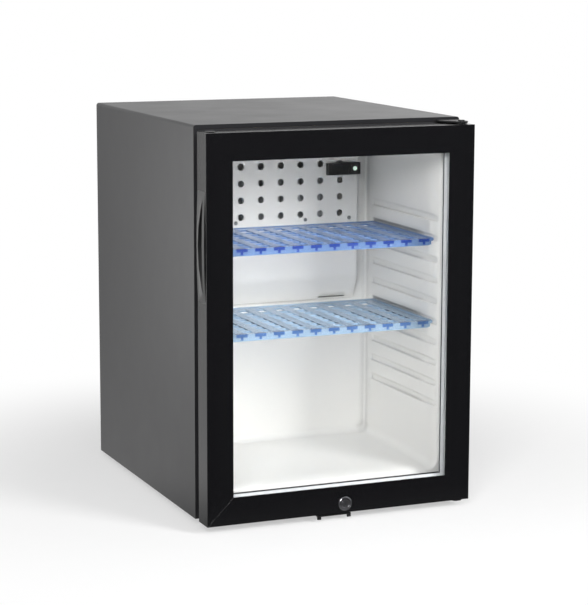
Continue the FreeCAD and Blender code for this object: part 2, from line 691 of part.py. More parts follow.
def shelf_grooves(body, name, extra):
    """Rows of grooves on both sides: cut with no extra, or the moulded shell round them."""
    outer = "groove_half + " + extra
    inner = "cavity_half - overrun" if extra == "0" else "cavity_half + liner_wall / 2"
    low = "first_groove - " + extra
    high = "first_groove + groove_height + " + extra
    outlines = (rectangle(inner, low, outer, high), rectangle("-(%s)" % outer, low, "-(%s)" % inner, high))
    make = add if name == "groove_shells" else cut
    groove = make(body, name, "XZ", "groove_start", "groove_end + " + extra, *outlines)
    repeat(body, groove, name + "_rows", "V_Axis", "groove_pitch", GROOVES)


def feed_holes(body, low, high):
    """Two holes for the refrigerant pipes and one for the drain, through the rear wall."""
    cut(body, "feed_holes", "XZ", low, high,
        ngon("feed_pipe_x", "feed_high", "pipe_radius + seat_gap", 8),
        ngon("feed_pipe_x", "feed_low", "pipe_radius + seat_gap", 8),
        ngon("-drain_x", "gutter_z + drain_radius", "drain_radius + seat_gap", 8))


# Foamed insulation between the casing and the liner
def insulation_foam():
    body = new_body("insulation_foam")
    add(body, "block", "XZ", "foam_front", "foam_back",
        rectangle("-foam_half", "foam_bottom", "foam_half", "foam_top"))
    loft(body, "pocket_front", "SubtractiveLoft", "XZ",
         [("foam_front", mouth("liner_wall")), ("roll_end", mouth("liner_wall", "0"))])
    cut(body, "pocket", "XZ", "roll_end", "cavity_back + liner_wall", mouth("liner_wall", "0"))
    shelf_grooves(body, "groove_beds", "liner_wall")
    feed_holes(body, "cavity_back", "foam_back + overrun")
    soften(body, "top_edges", "Fillet", "casing_bend - sheet_steel",
           lambda e: along(e, "y") and at(e, "z", "foam_top"))
    return body


# Galvanised panel behind the insulation, with a stiffening swage all round
def back_panel():
    body = new_body("back_panel")
    side = "foam_half - seat_gap"
    add(body, "panel", "XZ", "foam_back", "panel_back",
        rectangle("-(%s)" % side, "foam_bottom + seat_gap", side, "foam_top - casing_bend"))
    add(body, "swage", "XZ", "panel_back - sheet_steel / 2", "panel_back + sheet_steel",
        rectangle("rear_return - half", "foam_bottom + rear_return", "half - rear_return",
                  "foam_top - rear_return - casing_bend"),
        rectangle("2 * rear_return - half", "foam_bottom + 2 * rear_return", "half - 2 * rear_return",
                  "foam_top - 2 * rear_return - casing_bend"))
    feed_holes(body, "foam_back - overrun", "panel_back + overrun")
    return body


# Perforated cover in front of the evaporator
def evaporator_cover():
    body = new_body("evaporator_cover")
    add(body, "hood", "YZ", "-cover_half", "cover_half",
        polygon([("cover_front", "cover_high"), ("cover_front", "cover_bend"),
                 ("cavity_back - cover_lip", "cover_low"), ("cavity_back", "cover_low"),
                 ("cavity_back", "cover_high")]))
    inner = "cover_front + cover_sheet"
    cut(body, "hollow", "YZ", "cover_sheet - cover_half", "cover_half - cover_sheet",
        polygon([(inner, "cover_high + overrun"), (inner, "cover_bend + cover_sheet / 4"),
                 ("cavity_back - cover_lip + cover_sheet / 2", "cover_low + cover_sheet"),
                 ("cavity_back + overrun", "cover_low + cover_sheet"),
                 ("cavity_back + overrun", "cover_high + overrun")]))
    soften(body, "cover_edges", "Chamfer", "cover_sheet",
           lambda e: along(e, "z") and at(e, "y", "cover_front"))
    across = "(%d - %d / 2) * hole_pitch_across"
    holes = [ngon(across % (i, HOLE_COLUMNS - 1), "door_bottom + lowest_holes", "hole_radius", 10)
             for i in range(HOLE_COLUMNS)]
    row = cut(body, "hole_row", "XZ", "cover_front - overrun",
              "cover_front + cover_sheet + overrun / 2", *holes)
    repeat(body, row, "hole_rows", "V_Axis", "hole_pitch_up", HOLE_ROWS)
    cut(body, "drip_slot", "XY", "cover_low - overrun", "cover_low + drip_slot_height",
        rectangle("drip_slot_x - drip_slot_length / 2", "cover_front + cover_lip",
                  "drip_slot_x + drip_slot_length / 2", "cavity_back - cover_lip / 2"))
    return body


def cover_screws():
    body = new_body("cover_screws")
    for i, x in enumerate(("-cover_screw_outer", "-cover_screw_inner", "cover_screw_inner",
                           "cover_screw_outer")):
        add(body, "head_%d" % i, "XZ", "cover_front - cover_screw_head", "cover_front",
            ngon(x, "door_bottom + cover_screw_height", "cover_screw_radius", 12))
    return body


# Small lamp on the cover: housing with a rim round a bare window, and a round lens
def lamp_housing():
    body = new_body("lamp_housing")
    left = "cover_half - lamp_width"
    low = "door_bottom + lamp_bottom"
    face = "cover_front - lamp_depth"
    add(body, "case", "XZ", face, "cover_front",
        rectangle(left, low, "cover_half", low + " + lamp_height"))
    lens_side = "cover_half - lamp_height"
    cut(body, "window", "XZ", face + " - overrun", face + " + lamp_rim",
        rectangle(left + " + lamp_rim", low + " + lamp_rim",
                  lens_side, low + " + lamp_height - 2 * lamp_rim"))
    cut(body, "lens_seat", "XZ", face + " - overrun", face + " + lamp_rim",
        ngon("cover_half - lamp_height / 2", low + " + lamp_height / 2", "lamp_lens_radius + seat_gap", 12))
    return body


def lamp_lens():
    body = new_body("lamp_lens")
    face = "cover_front - lamp_depth"
    add(body, "lens", "XZ", face + " - lamp_rim / 2", face + " + lamp_rim",
        ngon("cover_half - lamp_height / 2", "door_bottom + lamp_bottom + lamp_height / 2",
             "lamp_lens_radius", 12))
    return body


# Finned aluminium block that the refrigerant pipes cool
def evaporator_block():
    body = new_body("evaporator_block")
    low = "door_bottom + fin_block_bottom"
    base = "cavity_back - fin_base"
    add(body, "base", "XZ", base, "cavity_back",
        rectangle("-fin_block_width / 2", low, "fin_block_width / 2", low + " + fin_block_height"))
    start = "-fin_pitch * %d / 2" % (FINS - 1)
    fin = add(body, "fin", "XZ", base + " - fin_reach", base,
              rectangle(start + " - fin_thickness / 2", low, start + " + fin_thickness / 2",
                        low + " + fin_block_height"))
    repeat(body, fin, "fins", "H_Axis", "fin_pitch", FINS)
    return body


# Drip gutter below the finned block, and its drain through the rear wall
def drip_gutter():
    body = new_body("drip_gutter")
    side = "fin_block_width / 2 + gutter_sheet"
    front = "cavity_back - gutter_depth"
    top = "gutter_z + gutter_height"
    add(body, "trough", "YZ", "-(%s)" % side, side,
        polygon([(front, top), (front, "gutter_z + gutter_height / 2"),
                 (front + " + gutter_height / 2", "gutter_z - gutter_sheet"),
                 ("cavity_back", "gutter_z - gutter_sheet"), ("cavity_back", top)]))
    cut(body, "trough_hollow", "YZ", "gutter_sheet - (%s)" % side, side + " - gutter_sheet",
        polygon([(front + " + gutter_sheet", top + " + overrun"),
                 (front + " + gutter_sheet", "gutter_z + gutter_height / 2"),
                 (front + " + gutter_height / 2", "gutter_z"),
                 ("cavity_back - gutter_sheet", "gutter_z"),
                 ("cavity_back - gutter_sheet", top + " + overrun")]))
    cut(body, "drain_hole", "XZ", "cavity_back - 2 * gutter_sheet", "cavity_back + overrun",
        ngon("-drain_x", "gutter_z + drain_radius", "drain_bore", 8))
    return body


def drain_tube():
    body = new_body("drain_tube")
    add(body, "tube", "XZ", "cavity_back", "panel_back + vessel_radius",
        ngon("-drain_x", "gutter_z + drain_radius", "drain_radius", 8),
        ngon("-drain_x", "gutter_z + drain_radius", "drain_bore", 8))
    return body


# Plastic shelf: a sheet with long openings and short front slots, a rim on three sides,
# a lip turned down in front, and cross bars below the openings
def shelf(label, groove):
    body = new_body(label, z="first_groove + groove_pitch * %d" % groove)
    sheet_low = "shelf_face - shelf_sheet"
    add(body, "sheet", "XY", sheet_low, "shelf_face",
        rectangle("-shelf_half", "shelf_start", "shelf_half", "shelf_end"))
    inner = "shelf_half - shelf_rim"
    rim_front = "shelf_start + shelf_round"
    add(body, "rim", "XY", "0", "shelf_rim",
        polygon([("-shelf_half", rim_front), ("-shelf_half", "shelf_end"), ("shelf_half", "shelf_end"),
                 ("shelf_half", rim_front), (inner, rim_front), (inner, "shelf_end - shelf_rim"),
                 ("-(%s)" % inner, "shelf_end - shelf_rim"), ("-(%s)" % inner, rim_front)]))
    add(body, "lip", "XZ", "shelf_start", "shelf_start + shelf_sheet",
        polygon([("-lip_half", "shelf_face"), ("-lip_half", "shelf_rim - shelf_lip / 2"),
                 ("shelf_rim - lip_half", "shelf_face - shelf_lip"),
                 ("lip_half - shelf_rim", "shelf_face - shelf_lip"),
                 ("lip_half", "shelf_rim - shelf_lip / 2"), ("lip_half", "shelf_face")]))
    soften(body, "front_round", "Fillet", "shelf_round",
           lambda e: along(e, "x") and at(e, "z", "shelf_face") and at(e, "y", "shelf_start"))
    openings = across("slot_width", OPENINGS, "shelf_start + slot_front", "shelf_start + slot_back")
    mark = "shelf_start + mark_front"
    marks = across("slot_width", FRONT_MARKS, mark, mark + " + mark_width")
    cut(body, "openings", "XY", "0", "shelf_face + overrun", *openings, *marks)
    stems = across("mark_width", FRONT_MARKS, sheet_low + " - stem_height", sheet_low)
    cut(body, "stems", "XZ", "shelf_start - overrun", "shelf_start + shelf_sheet + overrun", *stems)
    first = "shelf_start + cross_bar_first"
    bar = add(body, "cross_bar", "XY", sheet_low + " - cross_bar_height", sheet_low,
              rectangle("-(%s)" % inner, first + " - cross_bar_width / 2",
                        inner, first + " + cross_bar_width / 2"))
    repeat(body, bar, "cross_bars", "V_Axis", "cross_bar_pitch", CROSS_BARS)
    return body


def across(width, count, low, high):
    """Outlines of one width side by side at the pitch of the shelf's openings."""
    outlines = []
    for i in range(count):
        x = "(%d - %d / 2) * slot_pitch" % (i, count - 1)
        outlines.append(rectangle("%s - %s / 2" % (x, width), low, "%s + %s / 2" % (x, width), high))
    return outlines


# Door frame: four hollow profiles, mitred at the corners.
# Each lies along its own X, with its outer edge at Z = 0 and the glass above it.
def door_profile(label, length, fin, turn, x, z):
    body = new_body(label, x=x, z=z, turn=turn)
    end = "(%s) / 2" % length
    add(body, "section", "YZ", "-(%s)" % end, end,
        polygon([("0", "0"), ("0", "frame_face"), ("profile_front", "frame_face"),
                 ("profile_front", "chamber"), ("door_thickness - profile_front", "chamber"),
                 ("door_thickness - profile_front", fin), ("door_thickness", fin),
                 ("door_thickness", "0")]),
        rectangle("profile_front", "profile_wall", "door_thickness - profile_front", "chamber - profile_wall"))
    past = "frame_face + overrun"
    cut(body, "mitres", "XZ", "-overrun", "door_thickness + overrun",
        polygon([("-(%s) - overrun" % end, "-overrun"), ("-(%s) + %s" % (end, past), past),
                 ("-(%s) - overrun" % end, past)]),
        polygon([("%s + overrun" % end, "-overrun"), ("%s + overrun" % end, past),
                 ("%s - (%s)" % (end, past), past)]))
    return body


def door_rail(label, fin, turn, z):
    """Top or bottom profile, with a hinge hole at each end."""
    body = door_profile(label, "width", fin, turn, "0", z)
    cut(body, "hinge_holes", "XY", "-overrun", "profile_wall + overrun",
        ngon("-pivot_x", "pivot_y", "bush_radius + pin_play", 8),
        ngon("pivot_x", "pivot_y", "bush_radius + pin_play", 8))
    return body


def door_stile(label, turn, x, side):
    """Left or right profile, with a cut-out for the grip insert."""
    body = door_profile(label, "door_height", "back_fin", turn, x, "door_middle")
    middle = "%s(grip_middle - door_middle)" % side
    cut(body, "grip_seat", "XY", "-overrun", "profile_wall + overrun",
        rectangle("%s - grip_length / 2 + grip_margin" % middle, "grip_margin + profile_front",
                  "%s + grip_length / 2 - grip_margin" % middle,
                  "door_thickness - grip_rear - profile_front"))
    return body


def bottom_rail():
    body = door_rail("door_profile_bottom", "back_fin_bottom", None, "door_bottom")
    cut(body, "lock_hole", "XZ", "-overrun", "profile_front + overrun",
        ngon("lock_offset", "lock_height", "lock_body_radius + seat_gap", 12))
    cut(body, "shaft_hole", "XZ", "door_thickness - profile_front - overrun", "door_thickness + overrun",
        ngon("lock_offset", "lock_height", "lock_shaft_radius + slide_gap", 12))
    return body


# Corner keys: solid angles that hold two profiles together and carry the hinge bushes
def corner_keys():
    body = new_body("corner_keys")
    near = "profile_wall + seat_gap"
    far = "chamber - profile_wall - seat_gap"
    corners = ((near, near), ("key_arm", near), ("key_arm", far), (far, far), (far, "key_arm"),
               (near, "key_arm"))
    for edge, low, high in (("door_bottom + ", "door_bottom", "door_bottom + bush_length + seat_gap"),
                            ("door_top - ", "door_top - bush_length - seat_gap", "door_top")):
        for side in ("-", ""):
            name = ("low" if "+" in edge else "high") + ("_left" if side else "_right")
            points = [("%s(half - (%s))" % (side, u), "%s(%s)" % (edge, w)) for u, w in corners]
            add(body, "angle_" + name, "XZ", "profile_front + seat_gap",
                "door_thickness - profile_front - seat_gap", polygon(points))
            cut(body, "bore_" + name, "XY", low, high,
                ngon("%spivot_x" % side, "pivot_y", "bush_radius + pin_play", 8))
    return body


def frame_ring(label, y_low, y_high, outer, inner):
    """Flat rectangular frame; outer and inner are insets from the edges of the door."""
    body = new_body(label)
    outlines = [rectangle("-(half - (%s))" % e, "door_bottom + %s" % e, "half - (%s)" % e, "door_top - (%s)" % e)
                for e in (outer, inner)]
    add(body, "ring", "XZ", y_low, y_high, *outlines)
    return body


def glass_pane(label, y_low, y_high):
    body = new_body(label)
    add(body, "pane", "XZ", y_low, y_high, rectangle("-pane_half", "pane_low", "pane_half", "pane_high"))
    return body


# White retainer behind the glass, bevelled back towards the seal
def inner_retainer():
    body = new_body("inner_retainer")
    outer = "chamber + seat_gap"
    add(body, "ring", "XZ", "retainer_front", "retainer_back",
        rectangle("-(half - (%s))" % outer, "door_bottom + %s" % outer,
                  "half - (%s)" % outer, "door_top - (%s)" % outer),
        rectangle("-opening_half", "opening_low", "opening_half", "opening_high"))
    soften(body, "retainer_slope", "Chamfer", "retainer_bevel",
           lambda e: at(e, "y", "retainer_back") and (
               (along(e, "x") and (at(e, "z", "opening_low") or at(e, "z", "opening_high")))
               or (along(e, "z") and (at(e, "x", "opening_half") or at(e, "x", "-opening_half")))))
    return body


# Soft seal between the door and the cabinet: a foot, a narrower bellows and a lip
def door_seal():
    body = new_body("door_seal")

    def ring(name, low, high, slim):
        half_slim = "(%s) / 2" % slim
        outlines = []
        for extra in (half_slim, "seal_width - %s" % half_slim):
            edge = "seal_inset + " + extra
            outlines.append(rectangle("-(half - (%s))" % edge,
                                      "door_bottom + seal_inset_bottom + %s" % extra,
                                      "half - (%s)" % edge, "door_top - (%s)" % edge))
        add(body, name, "XZ", low, high, *outlines)

    ring("foot", "door_thickness", "door_thickness + seal_foot", "0")
    ring("bellows", "door_thickness + seal_foot", "seal_back - seal_foot", "seal_neck")
    ring("lip", "seal_back - seal_foot", "seal_back", "0")
    return body


# Finger grip: a slightly bulging insert with a lens shaped recess
def grip_insert(label, side):
    body = new_body(label)
    chord_low = "grip_middle - grip_length / 2"
    chord_high = "grip_middle + grip_length / 2"
    edge = "%shalf" % side
    shares = [0, 0.12, 0.3, 0.5, 0.7, 0.88, 1]
    points = []
    for share in shares:
        swell = 1 - (2 * share - 1) ** 2
        points.append(("%s(half + grip_bulge * %.4f)" % (side, swell),
                       "%s + grip_length * %s" % (chord_low, share)))
    add(body, "face", "XZ", "grip_margin", "door_thickness - grip_rear", polygon(points))
    inset = "grip_margin + slide_gap"
    depth_low = "grip_margin + profile_front + slide_gap"
    depth_high = "door_thickness - grip_rear - profile_front - slide_gap"
    add(body, "cup", "XZ", depth_low, depth_high,
        rectangle("%s(half - grip_body)" % side, "%s + %s" % (chord_low, inset), edge,
                  "%s - (%s)" % (chord_high, inset)))
    lens = []
    for share in shares:
        reach = 1 - (2 * share - 1) ** 2
        lens.append((share, reach))
    slot_low = "grip_middle - grip_slot / 2"
    outline = [("grip_slot_front", slot_low)]
    for share, reach in lens[1:-1]:
        outline.append(("grip_slot_front + grip_slot_width * %.4f" % reach,
                        "%s + grip_slot * %s" % (slot_low, share)))
    outline.append(("grip_slot_front", slot_low + " + grip_slot"))
    floor = "half - grip_body + grip_floor"
    rim = "half + grip_bulge + overrun"
    low, high = (floor, rim) if side == "" else ("-(%s)" % rim, "-(%s)" % floor)
    cut(body, "recess", "YZ", low, high, polygon(outline))
    return body


# Hinges: bracket, pin and screws at the top and the bottom of the right side
def hinge_bracket(label, top):
    body = new_body(label)
    if top:
        plate = ("door_top + leaf_near", "door_top + leaf_far")
        leaf = ("door_top + leaf_far - bracket_leaf - bracket_sheet", "door_top + leaf_far")
    else:
        plate = ("door_bottom - leaf_far", "door_bottom - leaf_near")
        leaf = ("door_bottom - leaf_far", "door_bottom - leaf_far + bracket_leaf + bracket_sheet")
    add(body, "leaf", "XZ", "cabinet_front - bracket_sheet", "cabinet_front",
        rectangle("bracket_x_low", leaf[0], "bracket_x_high", leaf[1]))
    add(body, "plate", "XY", plate[0], plate[1],
        polygon([("bracket_x_low", "cabinet_front"), ("bracket_x_low", "cabinet_front - bracket_leaf"),
                 ("pivot_x - bracket_nose", "pivot_y - bracket_nose / 3"),
                 ("pivot_x - bracket_nose / 2", "pivot_y - bracket_nose"),
                 ("pivot_x + bracket_nose / 2", "pivot_y - bracket_nose"),
                 ("pivot_x + bracket_nose", "pivot_y - bracket_nose / 3"),
                 ("bracket_x_high", "cabinet_front - bracket_leaf"), ("bracket_x_high", "cabinet_front")]))
    cut(body, "pin_hole", "XY", plate[0] + " - overrun", plate[1] + " + overrun",
        disc("pivot_x", "pivot_y", "pin_radius"))
    return body


def hinge_pin(label, top):
    """Pin with a hexagonal head outside the bracket; its end lies in the door."""
    body = new_body(label)
    if top:
        head = ("door_top + leaf_far", "door_top + leaf_far + pin_head_height")
        shank = ("door_top - bush_length + pin_radius", "door_top + leaf_far")
    else:
        head = ("door_bottom - leaf_far - pin_head_height", "door_bottom - leaf_far")
        shank = ("door_bottom - leaf_far", "door_bottom + bush_length - pin_radius")
    add(body, "shank", "XY", shank[0], shank[1], disc("pivot_x", "pivot_y", "pin_radius"))
    add(body, "head", "XY", head[0], head[1], ngon("pivot_x", "pivot_y", "pin_head", 6))
    return body


def hinge_bush(label, top):
    """Flanged bush in the corner key, flat sided so that it can't turn, open towards the bracket."""
    body = new_body(label)
    if top:
        sleeve = ("door_top - bush_length", "door_top")
        flange = ("door_top", "door_top + bush_flange")
        bore = ("door_top - bush_length + pin_radius / 2", "door_top + bush_flange + overrun")
    else:
        sleeve = ("door_bottom", "door_bottom + bush_length")
        flange = ("door_bottom - bush_flange", "door_bottom")
        bore = ("door_bottom - bush_flange - overrun", "door_bottom + bush_length - pin_radius / 2")
    add(body, "sleeve", "XY", sleeve[0], sleeve[1], ngon("pivot_x", "pivot_y", "bush_radius", 8))
    add(body, "flange", "XY", flange[0], flange[1], ngon("pivot_x", "pivot_y", "bush_flange_radius", 8))
    cut(body, "bore", "XY", bore[0], bore[1], disc("pivot_x", "pivot_y", "pin_radius + pin_play"))
    return body


def hinge_screws():
    body = new_body("hinge_screws")
    middle = "bracket_x_low + bracket_width / 2"
    rows = (("top", "door_top + leaf_far - bracket_leaf / 2 - bracket_sheet"),
            ("bottom", "door_bottom - leaf_far + bracket_leaf / 2 + bracket_sheet"))
    for name, z in rows:
        for i, x in enumerate((middle + " - hinge_screw_pitch / 2", middle + " + hinge_screw_pitch / 2")):
            face = "cabinet_front - bracket_sheet"
            add(body, "%s_head_%d" % (name, i), "XZ", face + " - hinge_screw_head", face,
                ngon(x, z, "hinge_screw_radius", 6))
    return body


def hole_plugs():
    """Plugs in the two unused hinge holes on the left."""
    body = new_body("hole_plugs")
    for name, low, high, cap_low, cap_high in (
            ("top", "door_top - bush_length / 2", "door_top", "door_top", "door_top + bush_flange"),
            ("bottom", "door_bottom", "door_bottom + bush_length / 2", "door_bottom - bush_flange",
             "door_bottom")):
        add(body, name + "_stem", "XY", low, high, ngon("-pivot_x", "pivot_y", "plug_radius", 8))
        add(body, name + "_cap", "XY", cap_low, cap_high,
            ngon("-pivot_x", "pivot_y", "bush_flange_radius", 8))
    return body


# Lock in the bottom rail
def lock_barrel():
    """Bevelled round face with a flat sided body behind it, both bored for the plug."""
    body = new_body("lock_barrel")
    bore = disc("lock_offset", "lock_z", "lock_plug_radius + lock_play")
    add(body, "face", "XZ", "-lock_proud", "0", ngon("lock_offset", "lock_z", "lock_face_radius", 24), bore)
    soften(body, "bevel", "Chamfer", "lock_proud / 3",
           lambda e: e.Curve.TypeId == "Part::GeomLine" and at(e, "y", "-lock_proud"))
    add(body, "barrel", "XZ", "0", "door_thickness - profile_front - slide_gap",
        ngon("lock_offset", "lock_z", "lock_body_radius", 12), bore)
    return body


def lock_nut():
    body = new_body("lock_nut")
    add(body, "hexagon", "XZ", "profile_front", "profile_front + lock_nut_height",
        ngon("lock_offset", "lock_z", "lock_nut_flats / 2 / cos(30)", 6),
        ngon("lock_offset", "lock_z", "lock_body_radius + pin_play", 12))
    return body


def lock_plug():
    """Turning plug with its key slot, and the square shaft behind it."""
    end = "door_thickness - profile_front - slide_gap - lock_plug_radius"
    body = turned("lock_plug", ("lock_offset", "lock_z"),
                  [("-lock_proud", "0"), ("-lock_proud", "lock_plug_radius"), (end, "lock_plug_radius"),
                   (end, "0")])
    add(body, "shaft", "XZ", end, "cam_front", ngon("lock_offset", "lock_z", "lock_shaft_radius", 4))
    cut(body, "key_slot", "XZ", "-lock_proud - overrun", "key_slot_depth - lock_proud",
        rectangle("lock_offset - key_slot_width / 2", "lock_z - key_slot_length / 2",
                  "lock_offset + key_slot_width / 2", "lock_z + key_slot_length / 2"))
    return body


def lock_cam():
    """Flat tongue that lies to the left of the lock axis when the lock is open."""
    body = new_body("lock_cam")
    back = "cam_front + cam_sheet"
    tip = "lock_offset - cam_length"
    add(body, "hub", "XZ", "cam_front", back, ngon("lock_offset", "lock_z", "cam_width / 2 + cam_stand", 8))
    add(body, "tongue", "XZ", "cam_front", back,
        polygon([("lock_offset", "lock_z - cam_width / 2"), ("lock_offset", "lock_z + cam_width / 2"),
                 (tip + " + cam_width / 4", "lock_z + cam_width / 2"), (tip, "lock_z + cam_width / 4"),
                 (tip, "lock_z - cam_width / 4"), (tip + " + cam_width / 4", "lock_z - cam_width / 2")]))
    return body


def cam_screw():
    body = new_body("cam_screw")
    back = "cam_front + cam_sheet"
    add(body, "head", "XZ", back, back + " + cam_screw_head",
        ngon("lock_offset", "lock_z", "cam_screw_radius", 6))
    return body


# Keeper: a stirrup below the door, with a window for the cam and turned down front corners
def keeper_bracket():
    body = new_body("keeper_bracket")
    bend = "cabinet_front - keeper_drop"
    seat_end = "cabinet_front + keeper_seat"
    left = "-keeper_offset - keeper_width / 2"
    right = "keeper_width / 2 - keeper_offset"
    add(body, "stirrup", "YZ", left, right,
        polygon([("keeper_front", "keeper_top"), (bend, "keeper_top"), ("cabinet_front", "foot_height"),
                 (seat_end, "foot_height"), (seat_end, "foot_height - keeper_sheet"),
                 ("cabinet_front + keeper_drop / 2", "foot_height - keeper_sheet"),
                 (bend + " + keeper_drop / 2", "keeper_bottom"), ("keeper_front", "keeper_bottom")]))
    cut(body, "window", "XY", "keeper_bottom - overrun", "foot_height + overrun",
        rectangle(left + " + keeper_arm", "window_front", right + " - keeper_arm", "window_back"))
    prong = [("keeper_front", "keeper_bottom + keeper_sheet / 2"),
             ("keeper_front", "keeper_bottom - keeper_prong"),
             ("keeper_front + keeper_sheet", "keeper_bottom - keeper_prong"),
             ("keeper_front + 2 * keeper_sheet", "keeper_bottom + keeper_sheet / 2")]
    add(body, "left_prong", "YZ", left, left + " + keeper_arm", polygon(prong))
    add(body, "right_prong", "YZ", right + " - keeper_arm", right, polygon(prong))
    return body


def keeper_screws():
    body = new_body("keeper_screws")
    seat = "foot_height - keeper_sheet"
    for i, side in enumerate(("-", "")):
        add(body, "head_%d" % i, "XY", seat + " - keeper_screw_head", seat,
            ngon("%skeeper_screw_pitch / 2 - keeper_offset" % side,
                 "cabinet_front + keeper_seat / 2", "keeper_screw_radius", 6))
    return body


# Feet
def rubber_feet(places):
    """Tapered rubber feet, each with a recess for its screw."""
    body = new_body("rubber_feet")
    for i, (x, y) in enumerate(places):
        loft(body, "foot_%d" % i, "AdditiveLoft", "XY",
             [("0", ngon(x, y, "foot_radius - foot_taper", 16)),
              ("foot_height", ngon(x, y, "foot_radius", 16))])
    cut(body, "recesses", "XY", "-overrun", "foot_recess_depth",
        *[ngon(x, y, "foot_recess", 6) for x, y in places])
    return body


def foot_screws(places):
    body = new_body("foot_screws")
    add(body, "heads", "XY", "foot_recess_depth - foot_screw_head", "foot_recess_depth",
        *[ngon(x, y, "foot_screw_radius", 6) for x, y in places])
    return body


# Cooling unit
def boiler_can():
    body = new_body("boiler_can")
    y = "pipe_plane"
    add(body, "can", "XY", "boiler_base", "boiler_base + boiler_height",
        rectangle("-boiler_x - boiler_width / 2", y + " - boiler_depth / 2",
                  "-boiler_x + boiler_width / 2", y + " + boiler_depth / 2"))
    soften(body, "can_corners", "Chamfer", "boiler_round * 2 / 3", lambda e: along(e, "z"))
    soften(body, "can_edge", "Chamfer", "box_round",
           lambda e: at(e, "z", "boiler_base + boiler_height"))
    return body


def unit_cradle():
    """Bent plate on the back panel that carries the boiler and the absorber vessel."""
    body = new_body("unit_cradle")
    low = "boiler_base - cradle_sheet"
    add(body, "shelf", "XY", low, "boiler_base",
        rectangle("-boiler_x - boiler_width / 2", "panel_back",
                  "vessel_x + vessel_length / 2", "pipe_plane + boiler_depth / 2"))
    add(body, "leaf", "XZ", "panel_back", "panel_back + cradle_sheet",
        rectangle("-boiler_x - boiler_width / 2", low,
                  "vessel_x + vessel_length / 2", "boiler_base + cradle_leaf"))
    add(body, "front_leaf", "XZ",
        "pipe_plane + boiler_depth / 2", "pipe_plane + boiler_depth / 2 + cradle_sheet",
        rectangle("-boiler_x - boiler_width / 2", low,
                  "vessel_x + vessel_length / 2", "boiler_base + cradle_sheet * 4"))
    return body


def absorber_vessel():
    """Horizontal vessel with drawn-in ends, lying on the cradle."""
    body = new_body("absorber_vessel")
    left = "vessel_x - vessel_length / 2"
    right = "vessel_x + vessel_length / 2"
    add(body, "shell", "YZ", left, right, ngon("pipe_plane", "vessel_z", "vessel_radius", 16))
    soften(body, "ends", "Chamfer", "vessel_dome", lambda e: at(e, "x", left) or at(e, "x", right))
    return body


def absorber_coil():
    """Serpentine from the vessel up to the return pipe."""
    points = [("coil_right - pipe_bend", "pipe_plane", "vessel_z + vessel_radius * cos(11.25)"),
              ("coil_right - pipe_bend", "pipe_plane", "coil_low")]
    sides = ["-coil_left", "coil_right"]
    for i in range(3):
        points.append((sides[i % 2], "pipe_plane", "coil_low + coil_pitch * %d" % i))
        points.append((sides[i % 2], "pipe_plane", "coil_low + coil_pitch * %d" % (i + 1)))
    points.append(("feed_pipe_x", "pipe_plane", "coil_top"))
    points.append(("feed_pipe_x", "pipe_plane", "coil_top + coil_pitch / 2"))
    return pipe("absorber_coil", points, "coil_radius", "pipe_bend")


def vapour_pipe():
    """From the boiler up, across as the condenser, and down into the rear wall."""
    points = [("-boiler_x", "pipe_plane", "boiler_base + boiler_height"),
              ("-boiler_x", "pipe_plane", "condenser_height"),
              ("feed_pipe_x", "pipe_plane", "condenser_height"),
              ("feed_pipe_x", "pipe_plane", "feed_high"),
              ("feed_pipe_x", "cavity_back", "feed_high")]
    return pipe("vapour_pipe", points, "pipe_radius", "pipe_bend")


def return_pipe():
    """From the top of the absorber coil up and into the lower hole in the rear wall."""
    points = [("feed_pipe_x", "pipe_plane", "coil_top + coil_pitch / 2"),
              ("feed_pipe_x", "pipe_plane", "feed_low"),
              ("feed_pipe_x", "cavity_back", "feed_low")]
    return pipe("return_pipe", points, "pipe_radius", "pipe_bend")


def weak_pipe():
    """Thin pipe from the boiler to the lowest left bend of the absorber coil."""
    body = new_body("weak_solution_pipe")
    add(body, "pipe", "YZ", "boiler_width / 2 - boiler_x", "-coil_left - coil_radius * cos(22.5)",
        ngon("pipe_plane", "coil_low + coil_pitch / 2", "thin_pipe_radius", 8))
    return body


def liquid_pipe():
    """Straight pipe from the absorber vessel to the boiler."""
    body = new_body("liquid_pipe")
    add(body, "pipe", "YZ", "boiler_width / 2 - boiler_x", "vessel_x - vessel_length / 2",
        ngon("pipe_plane", "vessel_z", "pipe_radius", 8))
    return body


def condenser_fins():
    """Square plates with a common collar on the level run of the vapour pipe."""
    body = new_body("condenser_fins")
    first = "plate_pitch - condenser_left"
    plate = add(body, "plate", "YZ", first, first + " + plate_thickness",
                rectangle("pipe_plane - plate_width / 2", "condenser_height - plate_height / 2",
                          "pipe_plane + plate_width / 2", "condenser_height + plate_height / 2"),
                ngon("pipe_plane", "condenser_height", "pipe_radius + pipe_fit", 8))
    repeat(body, plate, "plates", "N_Axis", "plate_pitch", PLATES)
    add(body, "collar", "YZ", first, "%s + plate_pitch * %d" % (first, PLATES - 1),
        ngon("pipe_plane", "condenser_height", "pipe_radius + pipe_fit + plate_thickness", 8),
        ngon("pipe_plane", "condenser_height", "pipe_radius + pipe_fit", 8))
    return body


def terminal_box():
    """Box for the mains connection, with a bored gland below it."""
    body = new_body("terminal_box")
    add(body, "case", "XZ", "panel_back", "panel_back + box_depth",
        rectangle("-box_x - box_width / 2", "box_base", "box_width / 2 - box_x", "box_base + box_height"))
    soften(body, "case_edges", "Chamfer", "box_round",
           lambda e: e.BoundBox.YMin > value("panel_back") + MATCH or along(e, "y"))
    return body


def cable_gland():
    """Bored gland for a mains lead."""
    body = new_body("cable_gland")
    y = "panel_back + box_depth / 2"
    add(body, "barrel", "XY", "box_base - gland_length", "box_base",
        ngon("-box_x", y, "gland_neck", 12), ngon("-box_x", y, "gland_bore", 8))
    add(body, "collar", "XY", "box_base - gland_length / 3", "box_base",
        ngon("-box_x", y, "gland_radius", 6), ngon("-box_x", y, "gland_bore", 8))
    return body


